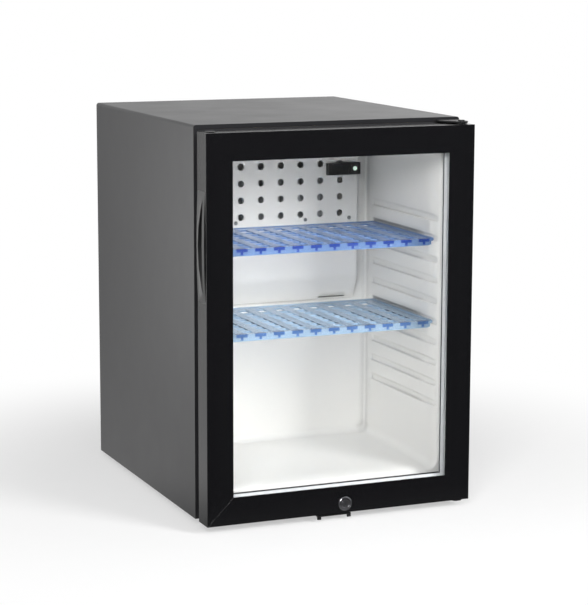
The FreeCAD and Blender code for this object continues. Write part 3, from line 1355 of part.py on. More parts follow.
# Struts that tie the rear edges of the casing together
def rear_strut(label, low):
    body = new_body(label)
    side = "foam_half - seat_gap"
    back = "depth - sheet_steel"
    add(body, "web", "XZ", back + " - bottom_sheet", back,
        rectangle("-(%s)" % side, low, side, low + " + strut_height"))
    add(body, "lower_flange", "XY", low, low + " + bottom_sheet",
        rectangle("rear_return - half", back + " - strut_flange", "half - rear_return", back))
    add(body, "upper_flange", "XY", low + " + strut_height - bottom_sheet", low + " + strut_height",
        rectangle("rear_return - half", back + " - strut_flange", "half - rear_return", back))
    return body


def strut_screws():
    body = new_body("strut_screws")
    for name, z in (("low", "strut_low + strut_height / 2"), ("high", "strut_high + strut_height / 2")):
        for side in ("-", ""):
            add(body, "%s_%s" % (name, "left" if side else "right"), "XZ", "depth",
                "depth + hinge_screw_head",
                ngon(side + "(half - rear_return / 2)", z, "hinge_screw_radius", 6))
    return body


def build():
    """Make every sub-part, in the order in which the fridge is put together."""
    outer_casing()
    bottom_plate()
    insulation_foam()
    inner_liner()
    back_panel()
    evaporator_block()
    drip_gutter()
    drain_tube()
    evaporator_cover()
    cover_screws()
    lamp_housing()
    lamp_lens()
    shelf("shelf_upper", UPPER_SHELF_GROOVE)
    shelf("shelf_lower", LOWER_SHELF_GROOVE)
    door_rail("door_profile_top", "back_fin", ((0, 1, 0), 180), "door_top")
    bottom_rail()
    door_stile("door_profile_left", ((0, 1, 0), 90), "-half", "-")
    door_stile("door_profile_right", ((0, 1, 0), -90), "half", "")
    corner_keys()
    glass_pane("outer_glass", "pane_front", "gap_front")
    frame_ring("glass_spacer", "gap_front", "inner_pane_front", "chamber + 2 * seat_gap",
               "chamber + 2 * seat_gap + spacer_face")
    glass_pane("inner_glass", "inner_pane_front", "retainer_front")
    inner_retainer()
    door_seal()
    grip_insert("grip_left", "-")
    grip_insert("grip_right", "")
    for name, top in (("top", True), ("bottom", False)):
        hinge_bracket("hinge_bracket_" + name, top)
        hinge_pin("hinge_pin_" + name, top)
        hinge_bush("hinge_bush_" + name, top)
    hinge_screws()
    hole_plugs()
    lock_barrel()
    lock_nut()
    lock_plug()
    lock_cam()
    cam_screw()
    keeper_bracket()
    keeper_screws()
    x_foot = "half - foot_inset_side"
    y_front = "cabinet_front + foot_inset_end"
    y_rear = "depth - foot_inset_end"
    places = [("-(%s)" % x_foot, y_front), (x_foot, y_front), ("-(%s)" % x_foot, y_rear), (x_foot, y_rear)]
    rubber_feet(places)
    foot_screws(places)
    boiler_can()
    unit_cradle()
    absorber_vessel()
    absorber_coil()
    vapour_pipe()
    return_pipe()
    weak_pipe()
    liquid_pipe()
    condenser_fins()
    terminal_box()
    cable_gland()
    rear_strut("rear_strut_low", "strut_low")
    rear_strut("rear_strut_high", "strut_high")
    strut_screws()


def write_parts():
    """Check every object, then write each sub-part under its own name."""
    doc.recompute()
    for item in doc.Objects:
        if "Invalid" in item.State or "Error" in item.State:
            raise ValueError("%s is %s" % (item.Label, item.State))
    parts = [item for item in doc.Objects if item.TypeId in ("PartDesign::Body", "Part::Feature")]
    for item in parts:
        shape = item.Shape
        if shape.isNull() or not shape.isValid():
            raise ValueError(item.Label + " has no valid shape")
        shape.exportStep("parts/%s.step" % item.Label)
        box = shape.BoundBox
        print("%-22s solids %d  x %7.1f %7.1f  y %7.1f %7.1f  z %6.1f %6.1f" % (
            item.Label, len(shape.Solids), box.XMin, box.XMax, box.YMin, box.YMax, box.ZMin, box.ZMax))
    print(len(parts), "sub-parts")


build()
write_parts()
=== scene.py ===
# %% [markdown]
# A glass door minibar fridge, dressed for its picture.
# The solids of the cabinet, the door, the lock and the shelves come ready made, in metres.
# Here they get their finishes, and the forms that solids draw too plainly are made again as surfaces.

# %% Load the solids
import json
import math

import bmesh
import bpy
import numpy as np
from mathutils import Matrix, Vector


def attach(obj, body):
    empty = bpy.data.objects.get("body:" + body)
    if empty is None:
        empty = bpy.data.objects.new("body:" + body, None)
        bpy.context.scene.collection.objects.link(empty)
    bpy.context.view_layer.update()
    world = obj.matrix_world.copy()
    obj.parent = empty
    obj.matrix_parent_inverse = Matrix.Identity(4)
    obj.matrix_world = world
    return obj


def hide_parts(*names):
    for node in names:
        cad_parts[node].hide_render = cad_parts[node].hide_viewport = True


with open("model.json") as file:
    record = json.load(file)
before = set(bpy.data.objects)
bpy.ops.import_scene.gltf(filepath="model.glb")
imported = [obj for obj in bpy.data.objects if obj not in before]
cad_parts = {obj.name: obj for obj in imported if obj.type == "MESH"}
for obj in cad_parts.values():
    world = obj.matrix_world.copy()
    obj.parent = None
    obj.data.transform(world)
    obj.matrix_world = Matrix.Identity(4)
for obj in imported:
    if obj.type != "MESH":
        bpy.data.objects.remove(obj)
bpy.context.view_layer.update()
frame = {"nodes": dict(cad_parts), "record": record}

NODES = frame["nodes"]
MM = 0.001

# %% [markdown]
# The camera stands in front and to the left, a little above the top of the fridge.
# Its place was worked out from the corners of the cabinet and the door in the photograph,
# so the turn of the fridge and the narrowing towards the back come out as they are there.
# A long lens far away would flatten that narrowing, and a short one would exaggerate it.

# %% Camera
IMAGE_HEIGHT, FOCAL_PIXELS, SENSOR_MM = 605, 2062.6, 36.0
YAW, PITCH, ROLL = math.radians(22.921), math.radians(9.762), math.radians(0.171)
CAMERA_PLACE = (-1.1568, -2.8015, 0.7957)


def turned_frame(yaw, pitch, roll):
    """Right, up and forward directions of a camera turned by yaw, lowered by pitch and rolled."""
    forward = np.array([math.sin(yaw) * math.cos(pitch), math.cos(yaw) * math.cos(pitch), -math.sin(pitch)])
    level = np.array([math.cos(yaw), -math.sin(yaw), 0.0])
    upright = np.cross(level, forward)
    right = math.cos(roll) * level + math.sin(roll) * upright
    up = -math.sin(roll) * level + math.cos(roll) * upright
    return right, up, forward


def into_scene(name, data):
    """A new object with the given data, linked into the scene."""
    made = bpy.data.objects.new(name, data)
    bpy.context.scene.collection.objects.link(made)
    return made


camera_data = bpy.data.cameras.new("camera")
camera_data.sensor_width = SENSOR_MM
camera_data.lens = FOCAL_PIXELS / IMAGE_HEIGHT * SENSOR_MM
camera_data.clip_end = 50.0
camera = into_scene("camera", camera_data)
right, up, forward = turned_frame(YAW, PITCH, ROLL)
camera.matrix_world = Matrix(np.vstack([np.stack([right, up, -forward, CAMERA_PLACE], -1), (0, 0, 0, 1)]))
bpy.context.scene.camera = camera
print("lens %.1f mm" % camera_data.lens)

# %% [markdown]
# Every finish is a small tree of nodes. One function fills the inputs of a node with numbers or with
# sockets, and small ones on top of it add a node, a sum, a range or a blend, so a material reads as a list
# of what the real surface has.
# Colours are written as they look on a screen, and one function turns them into light.

# %% Helpers for nodes


def light_of(hex_colour):
    """Turn a screen colour such as #8090a0 into linear red, green, blue and alpha."""
    parts = [int(hex_colour[i:i + 2], 16) / 255 for i in (1, 3, 5)]
    return tuple(c / 12.92 if c <= 0.04045 else ((c + 0.055) / 1.055) ** 2.4 for c in parts) + (1.0,)


def fill(tree, node, inputs):
    """Set the inputs of a node by name or number, or link those that are given a socket."""
    for name, given in inputs.items():
        if isinstance(given, bpy.types.NodeSocket):
            tree.links.new(given, node.inputs[name])
        else:
            node.inputs[name].default_value = given


def add_node(tree, kind, inputs=None, **settings):
    """Add a node, set its own settings and fill its inputs."""
    made = tree.nodes.new(kind)
    for name, setting in settings.items():
        setattr(made, name, setting)
    fill(tree, made, inputs or {})
    return made


# %% Numbers and colours in a tree


def worked(tree, operation, first, second, **settings):
    """Two numbers put together by a Math node."""
    return add_node(tree, "ShaderNodeMath", {0: first, 1: second}, operation=operation, **settings).outputs[0]


def ranged(tree, given, low, high, to_low=0.0, to_high=1.0, **settings):
    """A number carried from one range to another and held at its ends."""
    return add_node(tree, "ShaderNodeMapRange", {0: given, 1: low, 2: high, 3: to_low, 4: to_high},
                    **settings).outputs[0]


def blend(tree, share, *ends):
    """A colour that goes from one end to the other with the share; an end is a screen colour or a socket."""
    first, second = (light_of(end) if isinstance(end, str) else end for end in ends)
    return add_node(tree, "ShaderNodeMix", {0: share, 6: first, 7: second}, data_type="RGBA").outputs[2]


# %% Helpers for materials


def new_material(name):
    """An empty material with its shader and its output; returns the material, its tree and its shader."""
    material = bpy.data.materials.new(name)
    material.use_nodes = True
    tree = material.node_tree
    tree.nodes.clear()
    shader = add_node(tree, "ShaderNodeBsdfPrincipled")
    add_node(tree, "ShaderNodeOutputMaterial", {"Surface": shader.outputs[0]})
    print("material:", name)
    return material, tree, shader


def surface_noise(tree, size_mm, stretch=(1, 1, 1), detail=3.0):
    """Noise in object coordinates whose features are about size_mm across."""
    place = add_node(tree, "ShaderNodeTexCoord")
    turn = add_node(tree, "ShaderNodeMapping", {"Vector": place.outputs["Object"], "Scale": stretch})
    return add_node(tree, "ShaderNodeTexNoise", {"Vector": turn.outputs[0], "Scale": 1 / (size_mm * MM),
                                                 "Detail": detail}).outputs[0]


# Painted shade darkens recesses narrower than the first number. It fades in from the second depth to the
# third, going back.
SHADE_RECESS, SHADE_FADE_FRONT_Y, SHADE_FADE_BACK_Y = 22.0, -150.0, -110.0


def coated(name, first, second, rough, grain_mm, bump_mm, stretch=(1, 1, 1), metallic=0.0, specular=0.5,
           cloud_mm=60.0, corners=None):
    """A coat or moulding: clouds between two close colours, roughness that varies, and a fine grain.

    The colour is first where the cloud is 0, second where it is 1, and a blend between. corners is the colour
    of a painted shade in narrow recesses, which are found by how little a point sees around it."""
    material, tree, shader = new_material(name)
    cloud = surface_noise(tree, cloud_mm, stretch)
    grain = surface_noise(tree, grain_mm, stretch, 2.0)
    colour = blend(tree, cloud, first, second)
    if corners:
        # Painted shade: narrow recesses take the corners colour, except near the front.
        seen = add_node(tree, "ShaderNodeAmbientOcclusion", {"Distance": SHADE_RECESS * MM}, samples=8)
        open_part = ranged(tree, seen.outputs["AO"], 0.25, 0.75)
        place = add_node(tree, "ShaderNodeTexCoord").outputs["Object"]
        depth = add_node(tree, "ShaderNodeSeparateXYZ", {0: place}).outputs[1]
        shade_left_out = ranged(tree, depth, SHADE_FADE_FRONT_Y * MM, SHADE_FADE_BACK_Y * MM, 1.0, 0.0)
        colour = blend(tree, worked(tree, "MAXIMUM", open_part, shade_left_out), corners, colour)
    sheen = ranged(tree, cloud, 0.0, 1.0, rough * 0.88, rough * 1.12)
    bump = add_node(tree, "ShaderNodeBump", {"Height": grain, "Distance": bump_mm * MM, "Strength": 1.0})
    fill(tree, shader, {"Base Color": colour, "Roughness": sheen, "Normal": bump.outputs[0],
                        "Metallic": metallic, "Specular IOR Level": specular})
    return material


# %% [markdown]
# The cabinet is pre-painted steel sheet: a satin black paint baked on before the sheet is bent.
# It gives a soft sheen that grows towards grazing angles, so the top looks much lighter than the front.
# The paint has a faint orange peel about a millimetre and a half across, made here as bump.

# %% Cabinet finishes
PAINTED_STEEL = coated("satin_black_painted_steel", "#1c1c1e", "#202022", 0.42, 1.6, 0.006)
COATED_STEEL = coated("black_e_coated_steel", "#131314", "#19191a", 0.38, 0.8, 0.01)
RUBBER = coated("moulded_black_rubber", "#151515", "#1c1c1c", 0.75, 0.7, 0.02)

# %% [markdown]
# The door frame is black anodised aluminium. The profiles are pressed through a die, which leaves
# very fine lines along them, and the anodising keeps a matt, deep black.
# The lines run along each profile, so the upright and the level ones have their own material.

# %% Door finishes
ANODISED_LEVEL = coated("black_anodised_aluminium_level", "#08080a", "#0c0c0e", 0.26, 0.6, 0.002,
                        stretch=(0.02, 1, 1))
ANODISED_UPRIGHT = coated("black_anodised_aluminium_upright", "#08080a", "#0c0c0e", 0.26, 0.6, 0.002,
                          stretch=(1, 1, 0.02))
BLACK_ABS = coated("grained_black_abs", "#0d0d0e", "#131314", 0.42, 0.5, 0.008, specular=0.4)
SEAL_PVC = coated("soft_dark_grey_pvc", "#343436", "#3c3c3e", 0.6, 1.2, 0.015)
WHITE_PVC = coated("smooth_white_pvc", "#dfe2e4", "#e6e8ea", 0.38, 1.4, 0.004)
ACETAL = coated("black_acetal", "#161617", "#1d1d1e", 0.4, 0.9, 0.004)
BLACK_ZINC = coated("black_passivated_steel", "#252527", "#303032", 0.35, 0.5, 0.004, metallic=1.0)

# %% [markdown]
# The cavity is a vacuum formed polystyrene liner and the cover an injection moulding of the same plastic.
# Both are white with a slight gloss. Forming leaves long, barely visible swells in the liner.

# %% Cavity finishes
# The liner's narrow recesses, such as the grooves and the strip beside the cover, get a painted shade of
# #7c7c7a.
LINER_WITH_PAINTED_SHADE = coated("vacuum_formed_white_polystyrene_painted_shade", "#e9e8e5", "#efeeeb", 0.3, 9.0, 0.02,
                     corners="#7c7c7a")
COVER_WHITE = coated("moulded_white_polystyrene", "#e8e7e4", "#eeedea", 0.33, 1.2, 0.005)
FOAM = coated("polyurethane_foam", "#d8c48c", "#e6d6a6", 0.9, 0.6, 0.12)

# %% [markdown]
# Bare metals: galvanised sheet has grey crystals a centimetre across, drawn aluminium fins have fine
# lines, and the screws are zinc plated with a thin, slightly cloudy plating.

# %% Bare metals
CRYSTAL = 11.0


def galvanised(name):
    """Zinc crystals: each Voronoi cell has its own grey and its own roughness."""
    material, tree, shader = new_material(name)
    place = add_node(tree, "ShaderNodeTexCoord")
    cells = add_node(tree, "ShaderNodeTexVoronoi", {"Vector": place.outputs["Object"],
                                                    "Scale": 1 / (CRYSTAL * MM), "Randomness": 1.0})
    grey = add_node(tree, "ShaderNodeSeparateColor", {0: cells.outputs["Color"]}).outputs[0]
    fill(tree, shader, {"Base Color": blend(tree, grey, "#8b8e90", "#a9acae"),
                        "Roughness": ranged(tree, grey, 0.0, 1.0, 0.34, 0.52), "Metallic": 1.0})
    return material


GALVANISED = galvanised("spangled_galvanised_steel")
ALUMINIUM = coated("drawn_aluminium", "#b9bcbe", "#c9cbcc", 0.36, 0.4, 0.004, stretch=(1, 1, 0.05),
                   metallic=1.0)
ZINC = coated("zinc_plated_steel", "#9a9c9c", "#b4b5b3", 0.35, 0.5, 0.006, metallic=1.0, cloud_mm=3.0)
DARK_CHROME = coated("dark_chrome_plating", "#a8a8ad", "#b6b6bb", 0.24, 0.9, 0.004, metallic=1.0,
                     cloud_mm=6.0)
BLACK_PIPE = coated("black_painted_steel_tube", "#141414", "#1c1c1c", 0.45, 0.9, 0.02)

# %% [markdown]
# The shelves are clear blue polystyrene: light passes through, tinted, and the ribs look deeper. Both shelves
# are the same plastic, and the lower one's paler blue is painted light.
# The glass is plain float glass. The rays that carry light pass both nearly unbent: a path tracer finds
# a lamp through clear plastic only by chance, and the cavity would be dark and full of specks.

# %% Clear plastics and glass


def show_both(tree, share, first, second):
    """Let the surface show one shader where the share is 0 and the other where it is 1."""
    mixed = add_node(tree, "ShaderNodeMixShader", {0: share, 1: first.outputs[0], 2: second.outputs[0]})
    output = [node for node in tree.nodes if node.type == "OUTPUT_MATERIAL"][0]
    fill(tree, output, {"Surface": mixed.outputs[0]})


def clear(name, first, second, through, rough, ior=1.5, cloud_mm=40.0, carried="#f6f7fa", share=0.82):
    """Clear plastic or glass that lets some light through for the eye and scatters the rest.

    rough is its least and its most roughness. Of the rays that carry light, straight from a lamp or
    scattered by a wall, a share passes unbent and takes the colour carried."""
    material, tree, shader = new_material(name)
    path = add_node(tree, "ShaderNodeLightPath").outputs
    carrying = worked(tree, "MAXIMUM", path["Is Shadow Ray"], path["Is Diffuse Ray"])
    unbent = add_node(tree, "ShaderNodeBsdfTransparent", {0: light_of(carried)})
    show_both(tree, worked(tree, "MULTIPLY", carrying, share), shader, unbent)
    cloud = surface_noise(tree, cloud_mm)
    fill(tree, shader, {"Base Color": blend(tree, cloud, first, second), "IOR": ior,
                        "Roughness": ranged(tree, cloud, 0.0, 1.0, *rough), "Transmission Weight": through})
    return material


SHELF_ROUGH, RIB_ROUGH = (0.22 * 0.9, 0.22 * 1.1), (0.25 * 0.9, 0.25 * 1.1)
# The lower shelf's paler copy is painted light, standing for the extra light it gets near the bright floor.
SHELF_DEEP = clear("deep_blue_clear_polystyrene", "#7797c8", "#82a1ce", 0.5, SHELF_ROUGH)
SHELF_PAINTED_LIT = clear("blue_clear_polystyrene_painted_lit", "#a8c2da", "#b0c9df", 0.55, SHELF_ROUGH)
# The rib copies are darker, in part painted shade. The lower one is also paler, which is painted light.
RIB_PAINTED_SHADE = clear("blue_polystyrene_ribs_painted_shade", "#1b3a8e", "#224398", 0.2, RIB_ROUGH)
RIB_PAINTED_SHADE_LIT = clear("blue_polystyrene_ribs_painted_shade_lit", "#46699f", "#4f72a8", 0.25, RIB_ROUGH)
GLASS = clear("float_glass", "#fdfefe", "#fefefe", 1.0, (0.0, 0.02), 1.45, 220.0, "#fdfdfd", 1.0)
LENS = coated("bright_clear_lens", "#e4fbea", "#effff4", 0.2, 1.0, 0.002)
fill(LENS.node_tree, LENS.node_tree.nodes["Principled BSDF"],
     {"Emission Color": light_of("#dcfbe6"), "Emission Strength": 0.5})

# %% [markdown]
# The solids that keep their own form only take a finish. The table has a row for each finish with the
# solids that get it, and the print shows that no solid is left out or stands in two rows.

# %% Finish of every solid
ROWS = [
    (PAINTED_STEEL, "outer_casing bottom_plate"), (FOAM, "insulation_foam"), (LINER_WITH_PAINTED_SHADE, "inner_liner"),
    (GALVANISED, "back_panel boiler_can unit_cradle rear_strut_low rear_strut_high"),
    (ALUMINIUM, "evaporator_block glass_spacer condenser_fins"),
    (COVER_WHITE, "drip_gutter drain_tube evaporator_cover"),
    (ZINC, "cover_screws hinge_screws lock_nut lock_cam cam_screw keeper_screws foot_screws strut_screws"),
    (BLACK_ABS, "lamp_housing corner_keys grip_left grip_right hole_plugs terminal_box cable_gland"),
    (LENS, "lamp_lens"), (SHELF_DEEP, "shelf_upper"), (SHELF_PAINTED_LIT, "shelf_lower"),
    (ANODISED_LEVEL, "door_profile_top door_profile_bottom"),
    (ANODISED_UPRIGHT, "door_profile_left door_profile_right"), (GLASS, "outer_glass inner_glass"),
    (WHITE_PVC, "inner_retainer"), (SEAL_PVC, "door_seal"),
    (COATED_STEEL, "hinge_bracket_top hinge_bracket_bottom keeper_bracket"),
    (BLACK_ZINC, "hinge_pin_top hinge_pin_bottom"), (ACETAL, "hinge_bush_top hinge_bush_bottom"),
    (DARK_CHROME, "lock_barrel lock_plug"), (RUBBER, "rubber_feet"),
    (BLACK_PIPE, "absorber_vessel absorber_coil vapour_pipe return_pipe weak_solution_pipe liquid_pipe"),
]
named = [(name, finish) for finish, names in ROWS for name in names.split()]
FINISHES = dict(named)
for name, material in FINISHES.items():
    NODES[name].data.materials.clear()
    NODES[name].data.materials.append(material)
print("without a finish:", sorted(set(NODES) - set(FINISHES)), "named twice:", len(named) - len(FINISHES))

# %% [markdown]
# A new piece is a net of points worked out in millimetres. One helper joins neighbouring points of a
# grid into faces, and one puts points and faces into a mesh, closes its seams, turns its faces outwards
# and lets it ride on the part of the fridge that carries it.

# %% Helpers for surfaces
BODY_OF = {node: body for body, nodes in frame["record"]["behaviour"]["bodies"].items() for node in nodes}
SEAM, SOLID_SEAM = 0.003, 0.001


def grid_faces(rows, columns, wrap_rows=False, wrap_columns=True):
    """Four corner numbers per face between neighbouring rows and columns; a wrapped way closes on itself."""
    r = np.arange(rows if wrap_rows else rows - 1)[:, None]
    c = np.arange(columns if wrap_columns else columns - 1)[None, :]
    below, after = (r + 1) % rows, (c + 1) % columns
    corners = [r * columns + c, r * columns + after, below * columns + after, below * columns + c]
    return np.stack(corners, -1).reshape(-1, 4)


def per_face(mesh, kind, width=3):
    """One row of numbers for every face: its center, its normal or its area."""
    rows = np.empty(len(mesh.polygons) * width)
    mesh.polygons.foreach_get(kind, rows)
    return rows.reshape(-1, width)


def round_edges(piece, width, angle):
    """Give the edges over an angle in degrees a round bevel of a width in millimetres."""
    bevel = piece.modifiers.new("edge", "BEVEL")
    bevel.width = width * MM
    bevel.segments = 2
    bevel.limit_method = "ANGLE"
    bevel.angle_limit = math.radians(angle)
    bevel.harden_normals = True


def mended(mesh, seam, flat=None):
    """Close the seams of a mesh, join faces that lie within flat degrees and turn all faces outwards."""
    edit = bmesh.new()
    edit.from_mesh(mesh)
    bmesh.ops.remove_doubles(edit, verts=edit.verts, dist=seam * MM)
    if flat:
        bmesh.ops.dissolve_limit(edit, angle_limit=math.radians(flat), verts=edit.verts, edges=edit.edges)
    bmesh.ops.recalc_face_normals(edit, faces=edit.faces)
    edit.to_mesh(mesh)
    edit.free()


def shaded(mesh, sharp):
    """Smooth shading that breaks at edges over an angle in degrees."""
    mesh.shade_smooth()
    mesh.set_sharp_from_angle(angle=math.radians(sharp))


def make_piece(name, points, faces, replaced, material=None, facing=None, wall=0.0, sharp=35.0, adds=False):
    """A mesh of points in millimetres that stands for the solids replaced and rides with the first of them.

    facing is a point that an open surface shows its face to, and wall is the thickness behind that face.
    A piece that adds something only rides with the solid named, which stays."""
    mesh = bpy.data.meshes.new(name)
    mesh.from_pydata((np.asarray(points) * MM).tolist(), [], [list(map(int, face)) for face in faces])
    mended(mesh, SEAM)
    if facing is not None:
        look = np.array(facing) * MM - per_face(mesh, "center")
        towards = np.sum(per_face(mesh, "normal") * look, 1, keepdims=True)
        if np.sum(per_face(mesh, "area", 1) * towards) < 0:
            mesh.flip_normals()
    shaded(mesh, sharp)
    mesh.materials.append(material or FINISHES[replaced[0]])
    piece = into_scene(name, mesh)
    if wall:
        shell = piece.modifiers.new("wall", "SOLIDIFY")
        shell.thickness = wall * MM
        shell.offset = -1.0
    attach(piece, BODY_OF[replaced[0]])
    if not adds:
        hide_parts(*replaced)
    print("%s: %d faces" % (name, len(mesh.polygons)))
    return piece


# %% [markdown]
# The inner liner is one sheet of white plastic drawn down into a mould: a flat flange in front, a mouth
# that rolls inwards, five walls, and ten grooves in each side wall for the shelves.
# It could be boxes and cuts, but a drawn sheet is soft at every edge. So it is one outline of the cavity
# carried from front to back, which grows by the roll and the grooves and shrinks at the rear cove.

# %% Outline of the cavity
CAVITY_HALF, CAVITY_LOW, CAVITY_HIGH, CAVITY_CORNER = 167.0, 54.0, 512.0, 12.0
FLANGE_Y, REAR_Y = -191.25, 47.75
IN_FRONT = (0, -400, 283)


def cavity_outline(side_heights):
    """Points and outward directions round a rectangle with quarter circles in its corners."""
    turn = np.linspace(0, math.pi / 2, 9)[1:-1]
    inner = CAVITY_HALF - CAVITY_CORNER
    low, high = CAVITY_LOW + CAVITY_CORNER, CAVITY_HIGH - CAVITY_CORNER
    across = np.linspace(-inner, inner, 15)
    runs = [(across, CAVITY_LOW, 0, -1), (CAVITY_HALF, side_heights, 1, 0),
            (across[::-1], CAVITY_HIGH, 0, 1), (-CAVITY_HALF, side_heights[::-1], -1, 0)]
    centres = [(inner, low, -90), (inner, high, 0), (-inner, high, 90), (-inner, low, 180)]
    points, ways = [], []
    for (x, z, way_x, way_z), (cx, cz, start) in zip(runs, centres):
        straight = np.stack(np.broadcast_arrays(x, z), -1).astype(float)
        points.append(straight)
        ways.append(np.broadcast_to((way_x, way_z), straight.shape))
        angle = math.radians(start) + turn
        way = np.stack([np.cos(angle), np.sin(angle)], -1)
        points.append(np.array([cx, cz]) + CAVITY_CORNER * way)
        ways.append(way)
    return np.concatenate(points), np.concatenate(ways)


def framed(points, half, low, high):
    """The same number of points pushed out onto a plain rectangle.

    Each point keeps its way from the core of the outline, and the longer side of that way reaches out
    to the rectangle. So the middle of a round corner meets the rectangle's corner."""
    middle = np.array([0.0, (CAVITY_LOW + CAVITY_HIGH) / 2])
    inside = np.array([CAVITY_HALF - CAVITY_CORNER, (CAVITY_HIGH - CAVITY_LOW) / 2 - CAVITY_CORNER])
    core = middle + np.clip(points - middle, -inside, inside)
    way = points - core
    span = np.where(way > 0, np.array([half, high]), np.array([-half, low])) - core
    return core + span * np.abs(way) / np.abs(way).max(1, keepdims=True)


# %% Heights across the grooves
# A groove's steps go up from below its lower edge to above its upper one, and its rise is the share of
# the full depth there: a steep lower flank that carries the shelf, and an upper flank that slopes.
GROOVE_LOW, GROOVE_PITCH, GROOVES, GROOVE_DEPTH = 141.5, 30.0, 10, 4.0
groove_steps = np.array([-1.4, -1.0, -0.4, 0.0, 5.6, 6.6, 9.6, 10.4, 10.9])
groove_rise = np.array([0, 0.12, 0.88, 1, 1, 0.9, 0.22, 0.05, 0])
groove_z = (GROOVE_LOW + GROOVE_PITCH * np.arange(GROOVES)[:, None] + groove_steps).ravel()
side_z = np.concatenate([[CAVITY_LOW + CAVITY_CORNER, 90, 115], groove_z,
                         [450, 480, CAVITY_HIGH - CAVITY_CORNER]])
outline, ways = cavity_outline(side_z)
in_wall = np.abs(ways[:, 0]) > 0.999
groove = GROOVE_DEPTH * np.interp(outline[:, 1], groove_z, np.tile(groove_rise, GROOVES), 0, 0) * in_wall
print("points round the cavity:", len(outline))

# %% Growth from front to rear
# The mouth rolls in as a quarter of an ellipse, ROLL wide and ROLL_DEPTH deep. The grooves get shallower
# to their end, where a step stops the shelf and a faint tail runs out. The rear edge is a quarter round.
ROLL, ROLL_DEPTH, FLOOR_COVE, SIDE_COVE = 8.0, 30.0, 10.0, 4.0
SHALLOW_Y, END_Y, END_STEP, TAIL_Y = -60.0, 24.8, 0.4, 35.0
rolled = np.linspace(0, math.pi / 2, 13)
straight_y = np.array([-150, -120, SHALLOW_Y, 0, END_Y, END_Y + END_STEP, TAIL_Y - 8, TAIL_Y - 4, TAIL_Y - 1,
                       TAIL_Y, REAR_Y - FLOOR_COVE])
front_y = np.concatenate([FLANGE_Y + ROLL_DEPTH * (1 - np.cos(rolled)), straight_y])
growth = np.concatenate([ROLL * (1 - np.sin(rolled)), np.zeros(len(straight_y))])
ends = np.interp(front_y, [SHALLOW_Y, END_Y, END_Y + END_STEP, TAIL_Y - 1, TAIL_Y], [1, 0.66, 0.45, 0.03, 0])
coved = np.linspace(0, math.pi / 2, 8)[1:, None]
cove = SIDE_COVE + (FLOOR_COVE - SIDE_COVE) * np.clip(-ways[None, :, 1], 0, 1)
grown = np.concatenate([np.maximum(growth[:, None], groove[None, :] * ends[:, None]),
                        cove * (np.cos(coved) - 1)])
print("sections from front to rear:", len(grown))

# %% Liner sheet
# The flange is two plain rectangles: half width, lower and upper edge, outside and at the seal's middle.
FLANGE_OUTER, FLANGE_INNER = (194.7, 18.3, 553.7), (182.5, 38.5, 534.0)
tub_y = np.concatenate([np.broadcast_to(front_y[:, None], (len(front_y), len(outline))),
                        REAR_Y - cove + cove * np.sin(coved)])
flange = np.stack([framed(outline, *FLANGE_OUTER), framed(outline, *FLANGE_INNER)])
section = np.concatenate([flange, outline[None] + ways[None] * grown[..., None]])
depths = np.concatenate([np.full((2, len(outline)), FLANGE_Y), tub_y])
liner_points = np.stack([section[..., 0], depths, section[..., 1]], -1)
rows, columns = section.shape[:2]
liner_faces = list(grid_faces(rows, columns)) + [np.arange(columns) + (rows - 1) * columns]
liner = make_piece("liner_sheet", liner_points.reshape(-1, 3), liner_faces, ["inner_liner"],
                   facing=IN_FRONT, wall=2.0)

# %% [markdown]
# Outside the seal the flange of the liner lies under the black steel of the cabinet's front. The same mesh
# takes a second finish there: every face that lies in the flange's plane and outside the seal's middle.

# %% Black border of the flange
SLACK = 0.1
liner.data.materials.append(PAINTED_STEEL)
across, back, height = per_face(liner.data, "center").T / MM
half, low, high = FLANGE_INNER
outer_side = (np.abs(across) > half - SLACK) | (height < low + SLACK) | (height > high - SLACK)
border = outer_side & (np.abs(back - FLANGE_Y) < SLACK)
liner.data.polygons.foreach_set("material_index", border.astype(np.int32))
print("faces of the black border:", int(border.sum()))

# %% [markdown]
# The evaporator cover is an injection moulded hood: a flat front with four rows of round holes, rounded
# sides that go back to the wall, and a lower part that slopes back to a lip with a drip slot.
# Cutting holes with booleans leaves long thin triangles, which show as streaks. Here every hole has its
# own small patch, a fan of rings between its circle and a rectangle, and a plain grid joins the patches.

# %% Form of the hood
COVER_HALF, COVER_LOW, COVER_HIGH, COVER_BEND = 143.5, 268.0, 511.7, 303.0
COVER_DEPTH, COVER_LIP, COVER_ROUND, COVER_WALL, COVER_GAP = 21.0, 5.0, 5.0, 1.2, 0.3
BEND_REACH = 6.0


def hood_depth(height):
    """Distance of the hood's front from the wall: full above the bend, sloping to the lip.

    The mean over a stretch of heights rounds the bend."""
    spots = height[..., None] + np.linspace(-BEND_REACH, BEND_REACH, 13)
    slope = (COVER_DEPTH - COVER_LIP) / (COVER_BEND - COVER_LOW)
    return (COVER_DEPTH - slope * np.maximum(0, COVER_BEND - spots)).mean(-1)


def on_hood(across, share, height):
    """A point of the hood: across, its share of the depth, and its height."""
    across, share, height = np.broadcast_arrays(across, share, np.asarray(height, float))
    return np.stack([across, REAR_Y - share * hood_depth(height), height], -1)


